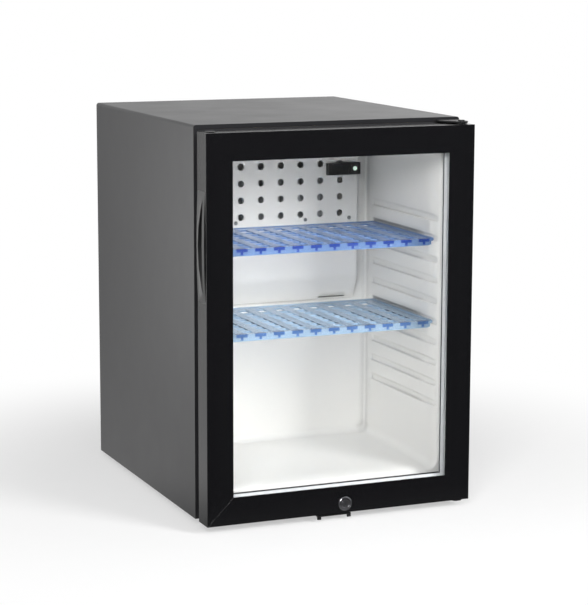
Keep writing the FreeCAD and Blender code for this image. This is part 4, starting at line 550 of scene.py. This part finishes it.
# %% Grid of the hood
HOLE_RADIUS, HOLE_ACROSS, HOLE_UP, HOLE_COLUMNS, HOLE_ROWS = 5.0, 32.0, 25.0, 8, 4
FIELD_LOW = 401.0 - HOLE_UP / 2
CELL = 8
DRIP_LEFT, DRIP_RIGHT, DRIP_LOW, DRIP_HIGH = 84.0, 128.0, 269.6, 271.8
arc = np.linspace(0, math.pi / 2, 7)
corner_x = COVER_HALF - COVER_ROUND + COVER_ROUND * np.sin(arc)
corner_share = 1 - COVER_ROUND / COVER_DEPTH * (1 - np.cos(arc))
half_field = HOLE_ACROSS * HOLE_COLUMNS / 2
field_x = np.linspace(-half_field, half_field, HOLE_COLUMNS * CELL + 1)
hood_x = np.concatenate([[-COVER_HALF] * 2, -corner_x[::-1], field_x, corner_x, [COVER_HALF] * 2])
hood_share = np.concatenate([[0, 0.4], corner_share[::-1], np.ones(len(field_x)), corner_share, [0.4, 0]])
field_z = FIELD_LOW + np.linspace(0, HOLE_UP * HOLE_ROWS, HOLE_ROWS * CELL + 1)
hood_z = np.concatenate([[COVER_LOW, DRIP_LOW, DRIP_HIGH, 280, 290],
                         np.linspace(COVER_BEND - 8, COVER_BEND + 8, 7), [335, 365], field_z,
                         [500, COVER_HIGH]])
hood_points = on_hood(hood_x[None, :], hood_share[None, :], hood_z[:, None])
lip = hood_points[:1].copy()
lip[..., 1] = REAR_Y - COVER_GAP
hood_points = np.concatenate([lip, hood_points])
rows, columns = hood_points.shape[:2]
hood_faces = grid_faces(rows, columns, wrap_columns=False).reshape(rows - 1, columns - 1, 4)
middle_x = (hood_x[:-1] + hood_x[1:]) / 2
middle_z = np.concatenate([[COVER_LOW], (hood_z[:-1] + hood_z[1:]) / 2])
flat = (hood_share[:-1] == 1) & (hood_share[1:] == 1)
in_field = (np.abs(middle_x) < half_field) & flat
holes = in_field[None, :] & ((middle_z > field_z[0]) & (middle_z < field_z[-1]))[:, None]
over_drip = (middle_x > DRIP_LEFT) & (middle_x < DRIP_RIGHT) & flat
drip = over_drip[None, :] & ((middle_z > DRIP_LOW) & (middle_z < DRIP_HIGH))[:, None]
faces = list(hood_faces[~(holes | drip)])
print("left out of the grid: %d for holes, %d for the drip slot" % (holes.sum(), drip.sum()))

# %% Patches round the holes
NEAR_RING, FAR_RING = 0.7, 1.5
side = np.linspace(-1, 1, CELL + 1)[:-1]
square = np.concatenate([np.stack([side, -np.ones(CELL)], -1), np.stack([np.ones(CELL), side], -1),
                         np.stack([-side, np.ones(CELL)], -1), np.stack([-np.ones(CELL), -side], -1)])
round_way = square / np.linalg.norm(square, axis=1, keepdims=True)
edge = square * np.array([HOLE_ACROSS, HOLE_UP]) / 2
rings = np.stack([round_way * HOLE_RADIUS, round_way * (HOLE_RADIUS + NEAR_RING),
                  0.5 * (round_way * (HOLE_RADIUS + FAR_RING) + edge), edge])
hole_x = (np.arange(HOLE_COLUMNS) - (HOLE_COLUMNS - 1) / 2) * HOLE_ACROSS
hole_z = FIELD_LOW + (np.arange(HOLE_ROWS) + 0.5) * HOLE_UP
middles = np.stack(np.meshgrid(hole_x, hole_z), -1).reshape(-1, 1, 1, 2)
patches = middles + rings[None]
patch_points = on_hood(patches[..., 0], 1.0, patches[..., 1])
first = rows * columns
per_patch = rings.shape[0] * rings.shape[1]
one = grid_faces(rings.shape[0], rings.shape[1])
patch_faces = (one[None] + (first + per_patch * np.arange(len(patches)))[:, None, None]).reshape(-1, 4)
points = np.concatenate([hood_points.reshape(-1, 3), patch_points.reshape(-1, 3)])
make_piece("perforated_hood", points, faces + list(patch_faces), ["evaporator_cover"], facing=IN_FRONT,
           wall=COVER_WALL)

# %% [markdown]
# A shelf is one moulding: a sheet with long openings, cross bars below it, a rim on three sides and a
# lip in front, with a short rib at the front end of every land between the openings.
# All of it lies square to the axes, so it is a block of cells, each full or empty, with uneven spacing.
# Every wall between a full and an empty cell is a face, so the whole shelf is closed by itself.
# Where a rib meets the skin the plastic is thicker, and those faces get a deeper blue. That blue is in part
# painted shade, standing for the shade in the slots at the front edge.

# %% Cells


def near(values, middles, half):
    """True where a value lies within half of one of the middles."""
    return (np.abs(values[:, None] - middles[None, :]) < half).any(1)


def blocks(x, y, z, full):
    """Points and faces of the walls between the full and the empty cells of a grid.

    A wall stands where the fullness changes from one cell to the next along an axis."""
    padded = np.pad(full, 1)
    shape = np.array(full.shape) + 1
    number = np.arange(shape.prod()).reshape(shape)
    faces = []
    for axis in range(3):
        cells = np.moveaxis(padded, axis, 0)[:, 1:-1, 1:-1]
        wall = cells[:-1] != cells[1:]
        layer = np.moveaxis(number, axis, 0)
        corner = np.stack([layer[:, :-1, :-1], layer[:, 1:, :-1], layer[:, 1:, 1:], layer[:, :-1, 1:]], -1)
        faces.append(corner[wall])
    points = np.stack(np.meshgrid(x, y, z, indexing="ij"), -1).reshape(-1, 3)
    faces = np.concatenate(faces)
    used, again = np.unique(faces, return_inverse=True)
    return points[used], again.reshape(faces.shape)


# %% Shelves
# Across and along the shelf, from its middle and from its front edge
SHELF_HALF, RIM_INNER, LIP_HALF, LIP_SLOPE = 169.5, 164.5, 165.5, 5.0
SHELF_FRONT, RIM_FRONT, LIP_BACK, RIB_FRONT, RIB_BACK = -176.25, 2.0, 2.5, 3.0, 7.4
OPENING_FRONT, OPENING_BACK, RIM_BACK, SHELF_DEPTH = 9.0, 180.0, 196.0, 201.0
PITCH, OPENING_HALF, RIB_HALF, STEM_HALF, BAR_HALF = 28.0, 7.0, 8.4, 1.9, 3.0
opening_x = (np.arange(11) - 5) * PITCH
rib_x = (np.arange(12) - 5.5) * PITCH
bar_y = 28 + 21.6 * np.arange(7)
# Heights above the foot of the rim
HEIGHTS = (-6.0, -4.5, -0.5, 0.0, 1.5, 3.6, 4.0, 5.0)
LIP_LOW, STEM_LOW, BAR_LOW, RIM_LOW, SHEET_LOW, BAR_HIGH, SHEET_HIGH = HEIGHTS[:-1]


def make_shelf(name, node, base, rib_painted_shade):
    """Cells of the sheet, bars, rim, lip and ribs of a shelf whose rim stands on the height base."""
    x = np.unique(np.concatenate([[-SHELF_HALF, -RIM_INNER, RIM_INNER, SHELF_HALF, -LIP_HALF, LIP_HALF],
                                  opening_x - OPENING_HALF, opening_x + OPENING_HALF, rib_x - RIB_HALF,
                                  rib_x + RIB_HALF, rib_x - STEM_HALF, rib_x + STEM_HALF]).round(3))
    y = np.unique(np.concatenate([[0, RIM_FRONT, LIP_BACK, RIB_FRONT, RIB_BACK, OPENING_FRONT, OPENING_BACK,
                                   RIM_BACK, SHELF_DEPTH], bar_y - BAR_HALF, bar_y + BAR_HALF]).round(3))
    z = np.array(HEIGHTS)
    mx, my, mz = ((cuts[:-1] + cuts[1:]) / 2 for cuts in (x, y, z))
    X, Y, Z = np.meshgrid(mx, my, mz, indexing="ij")
    in_opening, in_rib, in_stem = (near(mx, middles, half)[:, None, None] for middles, half in (
        (opening_x, OPENING_HALF), (rib_x, RIB_HALF), (rib_x, STEM_HALF)))
    opening = in_opening & (Y > OPENING_FRONT) & (Y < OPENING_BACK)
    in_bar = near(my, bar_y, BAR_HALF)[None, :, None] & (np.abs(X) < RIM_INNER)
    sheet = (Z > SHEET_LOW) & (Z < SHEET_HIGH) & ~opening
    bars = in_bar & (Z > BAR_LOW) & (Z < BAR_HIGH)
    rim = (Z > RIM_LOW) & (Y > RIM_FRONT) & ((np.abs(X) > RIM_INNER) | (Y > RIM_BACK))
    lip = (Z < SHEET_HIGH) & (Y < LIP_BACK) & (np.abs(X) < LIP_HALF)
    rib = in_rib & (Y > RIB_FRONT) & (Y < RIB_BACK) & (Z < SHEET_HIGH) & (Z > BAR_LOW)
    stem = in_stem & (Y < RIB_FRONT) & (Z > STEM_LOW) & (Z < SHEET_HIGH)
    points, faces = blocks(x, y + SHELF_FRONT, z + base, sheet | bars | rim | lip | rib | stem)
    low = points[:, 2] < base + LIP_LOW + SLACK
    points[low, 0] = np.clip(points[low, 0], LIP_SLOPE - LIP_HALF, LIP_HALF - LIP_SLOPE)
    shelf = make_piece(name, points, faces, [node])
    shelf.data.materials.append(rib_painted_shade)
    across, back, height = (per_face(shelf.data, "center") / MM - [0, SHELF_FRONT, base]).T
    # Rib tops and stem fronts take the painted shade blue.
    top = near(across, rib_x, RIB_HALF) & (back < RIB_BACK) & (height > BAR_LOW + SLACK)
    front = near(across, rib_x, STEM_HALF) & (back < RIB_FRONT + SLACK) & (height > STEM_LOW)
    shelf.data.polygons.foreach_set("material_index", (top | front).astype(np.int32))
    round_edges(shelf, 0.25, 60)


make_shelf("moulded_shelf_upper", "shelf_upper", GROOVE_LOW + 8 * GROOVE_PITCH, RIB_PAINTED_SHADE)
make_shelf("moulded_shelf_lower", "shelf_lower", GROOVE_LOW + 4 * GROOVE_PITCH, RIB_PAINTED_SHADE_LIT)

# %% [markdown]
# Many small parts of the fridge are turned: feet, screw heads, the lock, the vessel and the lens. On a
# lathe a shape is one profile, and here too: rings of points whose radius follows a list of radius and
# height pairs. The cross in a screw head is a dip, worked out from the place across the face.

# %% Helpers for turned parts
# A radius that closes a profile at its axis, and for each axis the two ways across it and the way along it
TIP = 0.001
WAYS_OF_AXIS = {"x": (1, 2, 0), "y": (0, 2, 1), "z": (0, 1, 2)}


def circle(around):
    """Angles once round, as many as given."""
    return np.linspace(0, 2 * math.pi, around, endpoint=False)


def turned(profile, axis, centre, around, dip=None):
    """Rings round an axis through a centre; each profile entry is a radius and a place along the axis.

    dip takes the two coordinates across the face and gives how far each point sinks along the axis."""
    profile = np.asarray(profile, float)
    angle = circle(around)
    u = profile[:, 0, None] * np.cos(angle)
    v = profile[:, 0, None] * np.sin(angle)
    along = np.broadcast_to(profile[:, 1, None], u.shape).copy()
    if dip is not None:
        along += dip(u, v)
    points = np.empty(u.shape + (3,))
    first, second, third = WAYS_OF_AXIS[axis]
    points[..., first], points[..., second], points[..., third] = u, v, along
    return (points + np.array(centre)).reshape(-1, 3), grid_faces(len(profile), around)


def joined(parts):
    """Several nets of points and faces as one."""
    points, faces, first = [], [], 0
    for some, these in parts:
        points.append(some)
        faces += [np.asarray(face) + first for face in these]
        first += len(some)
    return np.concatenate(points), faces


def pan_head(radius, height, sign, axis, centre):
    """A domed screw head with a cross recess; sign is the way it stands out along its axis.

    The profile lists shares of the radius and of the height. The recess is where a point lies close to
    one of the two lines across the head and not too far from its middle."""
    share = np.array([TIP, 0.12, 0.24, 0.36, 0.48, 0.6, 0.75, 0.9, 0.98, 1.0, 1.0, TIP])
    rise = np.array([1, 0.99, 0.97, 0.94, 0.89, 0.82, 0.7, 0.5, 0.3, 0.15, 0, 0])
    arm_share, reach_share, depth_share, dome_rings = 0.17, 0.55, 0.55, 6

    def cross(u, v):
        arm = np.minimum(np.abs(u), np.abs(v)) < arm_share * radius
        inside = (np.hypot(u, v) < reach_share * radius) & (np.arange(len(share))[:, None] < dome_rings)
        return np.where(arm & inside, -sign * depth_share * height, 0.0)

    profile = np.stack([radius * share, sign * height * rise], -1)
    return turned(profile, axis, centre, 32, cross)


# %% Feet and screw heads
FEET = [(x, y) for x in (-167.0, 167.0) for y in (-157.25, 206.75)]
RECESS_TOP = 7.0
foot = [(TIP, RECESS_TOP), (4.6, RECESS_TOP), (4.9, 6.6), (5.0, 0.6), (5.4, 0.1), (11.8, 0.0), (12.9, 0.4),
        (13.3, 1.2), (13.7, 4.0), (13.4, 4.4), (13.4, 5.2), (13.9, 5.6), (14.6, 10.6), (15.0, 11.6),
        (15.0, 12.0), (TIP, 12.0)]
make_piece("turned_feet", *joined([turned(foot, "z", (x, y, 0), 36) for x, y in FEET]), ["rubber_feet"])
# Each row: solid, radius, height, the way it stands out, its axis and the middles of the heads
HEADS = {
    "foot_pan_heads": ("foot_screws", 4.0, 2.0, -1, "z", [(x, y, RECESS_TOP) for x, y in FEET]),
    "cover_pan_heads": ("cover_screws", 3.0, 1.6, -1, "y", [(x, 26.75, 393) for x in (-128, -56, 56, 128)]),
    "hinge_pan_heads": ("hinge_screws", 3.5, 1.5, -1, "y",
                        [(x, -193.75, z) for x in (173, 189) for z in (17, 547.5)]),
    "keeper_pan_heads": ("keeper_screws", 3.2, 1.5, -1, "z", [(x, -174.25, 10) for x in (-23, 5)]),
    "strut_pan_heads": ("strut_screws", 3.5, 1.5, 1, "y",
                        [(x, 240.75, z) for x in (-194, 194) for z in (133, 413)]),
    "cam_pan_head": ("cam_screw", 3.0, 1.8, 1, "y", [(5, -202.25, 25.3)]),
}
for name, (node, radius, height, sign, axis, middles) in HEADS.items():
    heads = [pan_head(radius, height, sign, axis, middle) for middle in middles]
    make_piece(name, *joined(heads), [node])

# %% [markdown]
# The cam lock is a die cast barrel with a bevelled face, and a plug that turns in it. The plug sits a
# hair lower than the face, and its key slot is a dip with straight sides. The slot's outline has as many
# points as the circle round it, each in the same direction from the middle, so plain faces join the two.

# %% Lock
LOCK, LOCK_AROUND = (5.0, 0.0, 25.3), 64
FACE_Y, SLOT_FLOOR_Y, SLOT_HALF_WIDE, SLOT_HALF_HIGH = -241.95, -238.0, 0.7, 3.0
barrel = [(5.55, -240.0), (5.55, FACE_Y), (5.9, -242.25), (8.7, -242.25), (9.0, -242.1), (9.2, -242.2),
          (9.7, -242.0), (10.2, -241.3), (10.45, -240.3), (10.5, -239.3), (8.0, -239.25), (8.0, -207.75),
          (5.55, -207.75)]
points, _ = turned(barrel, "y", LOCK, LOCK_AROUND)
make_piece("turned_barrel", points, grid_faces(len(barrel), LOCK_AROUND, wrap_rows=True), ["lock_barrel"])

plug = [(TIP, -204.25), (2.9, -204.25), (2.9, -222), (5.45, -222), (5.45, -241.6), (5.2, FACE_Y)]
points, _ = turned(plug, "y", LOCK, LOCK_AROUND)
angle = circle(LOCK_AROUND)
way = np.stack([np.cos(angle), np.sin(angle)], -1)
reach = np.min([SLOT_HALF_WIDE, SLOT_HALF_HIGH] / np.maximum(np.abs(way), 1e-6), 1)
slot = way * reach[:, None]
slot_rings = [np.insert(size * slot, 1, y, axis=1) + LOCK
              for size, y in ((1, FACE_Y), (1, SLOT_FLOOR_Y), (0.01, SLOT_FLOOR_Y))]
make_piece("slotted_plug", np.concatenate([points, *slot_rings]),
           grid_faces(len(plug) + len(slot_rings), LOCK_AROUND), ["lock_plug"], sharp=25)

# %% [markdown]
# The absorber vessel is a welded steel drum with domed ends and a weld bead beside each dome. The lens
# of the lamp is a shallow clear dome. Both are turned too, with a quarter of an ellipse for each dome.

# %% Vessel and lens
VESSEL_RADIUS, VESSEL_LEFT, VESSEL_RIGHT, VESSEL_DOME = 25.5, -7.0, 139.0, 12.0
dome = np.linspace(0, math.pi / 2, 9)
left_dome = np.stack([VESSEL_RADIUS * np.sin(dome), VESSEL_LEFT - VESSEL_DOME * np.cos(dome)], -1)
right_dome = np.stack([VESSEL_RADIUS * np.cos(dome), VESSEL_RIGHT + VESSEL_DOME * np.sin(dome)], -1)
welds = [(25.5, -5.5), (25.9, -5), (25.5, -4.5), (25.5, 136.5), (25.9, 137), (25.5, 137.5)]
vessel = np.maximum(np.concatenate([left_dome, welds, right_dome]), [TIP, -np.inf])
make_piece("domed_vessel", *turned(vessel, "x", (0, 168.75, 85.5), 48), ["absorber_vessel"])

LENS_RADIUS, LENS_BACK, LENS_EDGE, LENS_RISE = 3.2, 21.75, 20.2, 1.45
curve = np.linspace(0, math.pi / 2, 8)
lens = np.concatenate([[(TIP, LENS_BACK), (LENS_RADIUS, LENS_BACK)],
                       np.stack([LENS_RADIUS * np.cos(curve), LENS_EDGE - LENS_RISE * np.sin(curve)], -1)])
make_piece("lens_dome", *turned(np.maximum(lens, [TIP, 0]), "y", (134.5, 0, 468), 32), ["lamp_lens"])

# %% [markdown]
# The cooling unit at the back is welded from bent steel tube. A tube is a ring carried along a route:
# straight runs joined by arcs of one bend radius, since a tube bender has one former. Each ring stands
# square to the route, which needs a second direction that the route never takes.

# %% Helpers for bent tubes
BEND, BEND_POINTS = 20.0, 10
NEVER_TAKEN = np.array([0.5, 0.62, 0.6])


def route_of(corners):
    """Points along straight runs with an arc at every corner.

    An arc starts BEND times the tangent of half its turn before the corner, and its centre lies on the
    line that halves the corner, where a circle touches both runs."""
    corners = np.asarray(corners, float)
    route = [corners[:1]]
    for before, corner, after in zip(corners, corners[1:], corners[2:]):
        into = (before - corner) / np.linalg.norm(before - corner)
        out = (after - corner) / np.linalg.norm(after - corner)
        half = (math.pi - math.acos(np.clip(into @ out, -1, 1))) / 2
        middle = corner + (into + out) / np.linalg.norm(into + out) * BEND / math.cos(half)
        arm = corner + into * BEND * math.tan(half) - middle
        turn = np.linspace(0, 2 * half, BEND_POINTS)[:, None]
        route.append(middle + arm * np.cos(turn) - into * BEND * np.sin(turn))
    return np.concatenate(route + [corners[-1:]])


def tube(corners, radius, around):
    """Rings along a route, square to it, closed at both ends."""
    route = route_of(corners)
    ahead = np.gradient(route, axis=0)
    ahead /= np.linalg.norm(ahead, axis=1, keepdims=True)
    first = np.cross(ahead, NEVER_TAKEN)
    first /= np.linalg.norm(first, axis=1, keepdims=True)
    second = np.cross(ahead, first)
    angle = circle(around)[None, :, None]
    rings = route[:, None] + radius * (np.cos(angle) * first[:, None] + np.sin(angle) * second[:, None])
    end = np.arange(around)
    faces = list(grid_faces(len(route), around)) + [end, end + (len(route) - 1) * around]
    return rings.reshape(-1, 3), faces


# %% Bent tubes
# Each row: solid, radius, flats round it, and the corners of its route. Most run in the rear bay's plane.
PLANE, WALL_Y = 168.75, 47.8
LEFT_X, RIGHT_X, ENTRY_X = -40, 132, 108
TUBES = {
    "coil_tube": ("absorber_coil", 9.0, 28, [(x, PLANE, z) for x, z in (
        (112, 110.8), (112, 157.5), (LEFT_X, 157.5), (LEFT_X, 215.5), (RIGHT_X, 215.5), (RIGHT_X, 273.5),
        (LEFT_X, 273.5), (LEFT_X, 331.5), (ENTRY_X, 331.5), (ENTRY_X, 360.5))]),
    "vapour_tube": ("vapour_pipe", 7.0, 28, [(-118, PLANE, 290), (-118, PLANE, 500), (ENTRY_X, PLANE, 500),
                                             (ENTRY_X, PLANE, 452), (ENTRY_X, WALL_Y, 452)]),
    "return_tube": ("return_pipe", 7.0, 28, [(ENTRY_X, PLANE, 360.5), (ENTRY_X, PLANE, 412),
                                             (ENTRY_X, WALL_Y, 412)]),
    "weak_tube": ("weak_solution_pipe", 4.0, 20, [(x, PLANE, 186.5) for x in (-85, -66, -48.4)]),
    "liquid_tube": ("liquid_pipe", 7.0, 28, [(x, PLANE, 85.5) for x in (-85, -50, -19)]),
}
for name, (node, radius, around, corners) in TUBES.items():
    make_piece(name, *tube(corners, radius, around), [node], sharp=60)

# %% [markdown]
# The door seal is a soft bellows with a magnet strip in its rear lip, welded at its four corners.
# Its section goes round the door as a frame, and every corner is a mitre.

# %% Door seal


def mitred(half, low, high, inset, depth):
    """A section carried round an upright rectangle: every corner moves inwards by the inset."""
    across = np.array([-1, 1, 1, -1])[:, None] * (half - inset)
    height = np.stack([low + inset, low + inset, high - inset, high - inset])
    points = np.stack([across, np.broadcast_to(depth, across.shape), height], -1)
    return points.reshape(-1, 3), grid_faces(4, len(inset), wrap_rows=True)


SEAL_HALF, SEAL_LOW, SEAL_HIGH, SEAL_WIDTH = 189.0, 32.0, 540.5, 13.0
half_section = np.array([(0, -205.25), (0, -203.3), (0.7, -202.5), (2.4, -201.8), (1.2, -199.7),
                         (1.2, -198.3), (2.4, -196.3), (0.8, -195.3), (0.1, -194.4), (0.2, -192.4),
                         (1.1, -191.6)])
seal_section = np.concatenate([half_section, half_section[::-1] * [-1, 1] + [SEAL_WIDTH, 0]])
make_piece("bellows_seal", *mitred(SEAL_HALF, SEAL_LOW, SEAL_HIGH, *seal_section.T), ["door_seal"], sharp=50)

# %% [markdown]
# Behind the glass a thin black bead of glazing rubber closes the joint between the pane and its retainer.
# It has no solid of its own, because it is a soft strip a millimetre and a half thick, and it rides with
# the door.
# Its round section goes round the opening as a frame, with a mitre at every corner.

# %% Glazing bead
BEAD_HALF, BEAD_LOW, BEAD_HIGH, BEAD_Y, BEAD_RADIUS = 161.9, 51.1, 513.4, -219.45, 0.78
turn = circle(12)
make_piece("glazing_bead", *mitred(BEAD_HALF, BEAD_LOW, BEAD_HIGH, -BEAD_RADIUS * np.cos(turn),
                                   BEAD_Y + BEAD_RADIUS * np.sin(turn)),
           ["inner_retainer"], material=RUBBER, sharp=50, adds=True)

# %% [markdown]
# No real edge is perfectly sharp: sawn aluminium is eased, sheet steel has a sheared edge and a moulding
# has a radius. A bright line on such an edge is what makes a part look real. Copies of the solids are
# merged, their flat faces joined, and every edge gets a small bevel of the width of the real one.
# The saw cuts of the frame are eased as well, which draws the fine mitre line at each corner.

# %% Eased edges
FLAT_ANGLE, EDGE_ANGLE = 0.5, 35.0


def eased(node, width):
    """A merged copy of a solid whose sharp edges get a round bevel of a width in millimetres."""
    mesh = NODES[node].data.copy()
    mesh.name = node + "_eased"
    mended(mesh, SOLID_SEAM, FLAT_ANGLE)
    shaded(mesh, EDGE_ANGLE)
    piece = into_scene(node + "_eased", mesh)
    round_edges(piece, width, EDGE_ANGLE)
    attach(piece, BODY_OF[node])
    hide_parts(node)


EDGES = {
    "door_profile_top": 0.3, "door_profile_bottom": 0.3, "door_profile_left": 0.3, "door_profile_right": 0.3,
    "grip_left": 0.6, "grip_right": 0.6, "hinge_bracket_top": 0.4, "hinge_bracket_bottom": 0.4,
    "keeper_bracket": 0.3, "lamp_housing": 0.35, "boiler_can": 0.6, "unit_cradle": 0.3, "terminal_box": 0.8,
    "cable_gland": 0.3, "rear_strut_low": 0.3, "rear_strut_high": 0.3, "inner_retainer": 0.3,
    "lock_cam": 0.2, "outer_casing": 0.2,
}
for node, width in EDGES.items():
    eased(node, width)
print("eased copies:", len(EDGES))

# %% [markdown]
# The room is a plain pale floor and a white world. Paint and glass show the room as a mirror does, so what
# they reflect makes their greys, as white boards and black cloths do in a studio. A Light Path node
# tells apart what the eye sees, also through glass, and what a surface mirrors.

# %% Ways of seeing


def between(tree, share, first, second):
    """A number that is first where the share is 0 and second where it is 1."""
    return add_node(tree, "ShaderNodeMix", {0: share, 2: first, 3: second}).outputs[0]


def ways_of_seeing(tree):
    """Two sockets: one is 1 for rays of the eye, also through glass, the other for mirrored rays."""
    path = add_node(tree, "ShaderNodeLightPath").outputs
    eye = worked(tree, "MAXIMUM", path["Is Camera Ray"], path["Is Transmission Ray"])
    mirror = worked(tree, "SUBTRACT", path["Glossy Depth"], path["Is Diffuse Ray"], use_clamp=True)
    return eye, mirror


# %% [markdown]
# The floor is matt near the fridge, where it takes the shadow, and turns white further out, so it has no
# edge against the world. In a mirror it is bright behind the fridge and to its left, where it gives the
# black paint its greys, and nearly black in front, which keeps the frame of the door black.

# %% Floor
FLOOR_HALF, SHADOW_NEAR, SHADOW_FAR = 30.0, 0.3, 0.9
floor_mesh = bpy.data.meshes.new("floor")
floor_mesh.from_pydata([(-FLOOR_HALF, -FLOOR_HALF, 0), (FLOOR_HALF, -FLOOR_HALF, 0),
                        (FLOOR_HALF, FLOOR_HALF, 0), (-FLOOR_HALF, FLOOR_HALF, 0)], [], [(0, 1, 2, 3)])
into_scene("floor", floor_mesh)
material, tree, shader = new_material("pale_studio_floor")
floor_mesh.materials.append(material)
speck = surface_noise(tree, 30.0)
fill(tree, shader, {"Base Color": blend(tree, speck, "#f2f2f2", "#f6f6f6"), "Roughness": 0.9,
                    "Specular IOR Level": 0.1})

# %% Floor for the eye
eye, mirror = ways_of_seeing(tree)
place = add_node(tree, "ShaderNodeTexCoord").outputs["Object"]
distance = add_node(tree, "ShaderNodeVectorMath", {0: place}, operation="LENGTH")
away = ranged(tree, distance.outputs["Value"], SHADOW_NEAR, SHADOW_FAR, 0.5, 1.0,
              interpolation_type="SMOOTHSTEP")
amount = worked(tree, "MAXIMUM", worked(tree, "MULTIPLY", eye, away), mirror)

# %% Floor in a mirror
# Each range runs from one place to another, in metres from the middle of the fridge's footprint.
spot_x, spot_y = add_node(tree, "ShaderNodeSeparateXYZ", {0: place}).outputs[:2]
behind = ranged(tree, spot_y, -0.35, 0.1)
abreast = ranged(tree, spot_y, -0.4, -0.3)
left = ranged(tree, spot_x, -0.22, -0.3)
lit = worked(tree, "MAXIMUM", behind, worked(tree, "MULTIPLY", abreast, left))
mirrored = between(tree, lit, 0.05, ranged(tree, spot_y, 0.2, 1.9, 0.75, 0.4))
glow = between(tree, mirror, 1.0, mirrored)
white = add_node(tree, "ShaderNodeEmission", {"Color": (1, 1, 1, 1), "Strength": glow})
show_both(tree, amount, shader, white)
print("floor: %g m square" % (2 * FLOOR_HALF))

# %% [markdown]
# The world is white for the eye and nearly dark as a light, so that the lamps alone shape the fridge. In a
# mirror it is a room that is dark behind the camera and bright at the back and to the right.

# %% World
bpy.context.scene.view_settings.view_transform = "Standard"
world = bpy.data.worlds.new("world")
bpy.context.scene.world = world
world.use_nodes = True
tree = world.node_tree
tree.nodes.clear()
eye, mirror = ways_of_seeing(tree)
direction = add_node(tree, "ShaderNodeTexCoord").outputs["Generated"]
sideways, ahead = add_node(tree, "ShaderNodeSeparateXYZ", {0: direction}).outputs[:2]
room = ranged(tree, ahead, -0.8, 0.4, 0.1, 1.2)
right_wall = ranged(tree, sideways, 0.25, 0.5, 0.75, 1.2)
mirrored = worked(tree, "MULTIPLY", room, right_wall)
strength = between(tree, mirror, between(tree, eye, 0.06, 1.0), mirrored)
white = add_node(tree, "ShaderNodeBackground", {"Color": (1, 1, 1, 1), "Strength": strength})
add_node(tree, "ShaderNodeOutputWorld", {"Surface": white.outputs[0]})
print("world:", len(tree.nodes), "nodes")

# %% [markdown]
# Two softboxes stand in front, to the left and to the right, a third hangs high above the front, and a
# small strip at the left rear lifts the side. The right one and the high one don't show in mirrors,
# since they would stand as bright squares in the glass and on the top.

# %% Lamps


def add_lamp(name, place, target, size, watts, mirrored):
    """A square soft lamp of a size in metres at a place, turned towards a target."""
    data = bpy.data.lights.new(name, "AREA")
    data.shape = "SQUARE"
    data.size = size
    data.energy = watts
    lamp = into_scene(name, data)
    lamp.location = place
    lamp.rotation_euler = (Vector(target) - Vector(place)).to_track_quat("-Z", "Y").to_euler()
    lamp.visible_camera = False
    lamp.visible_glossy = mirrored
    print("lamp: %s, %g W" % (name, watts))


add_lamp("left_softbox", (-1.3, -2.3, 1.4), (0, 0, 0.2), 0.9, 52, True)
add_lamp("right_softbox", (1.3, -2.5, 1.3), (0, 0, 0.2), 0.9, 86, False)
add_lamp("high_softbox", (0.0, -1.7, 2.3), (0, 0, 0.3), 1.2, 14, False)
add_lamp("side_strip", (-1.1, 0.75, 0.3), (-0.2, -0.1, 0.2), 0.6, 5, True)
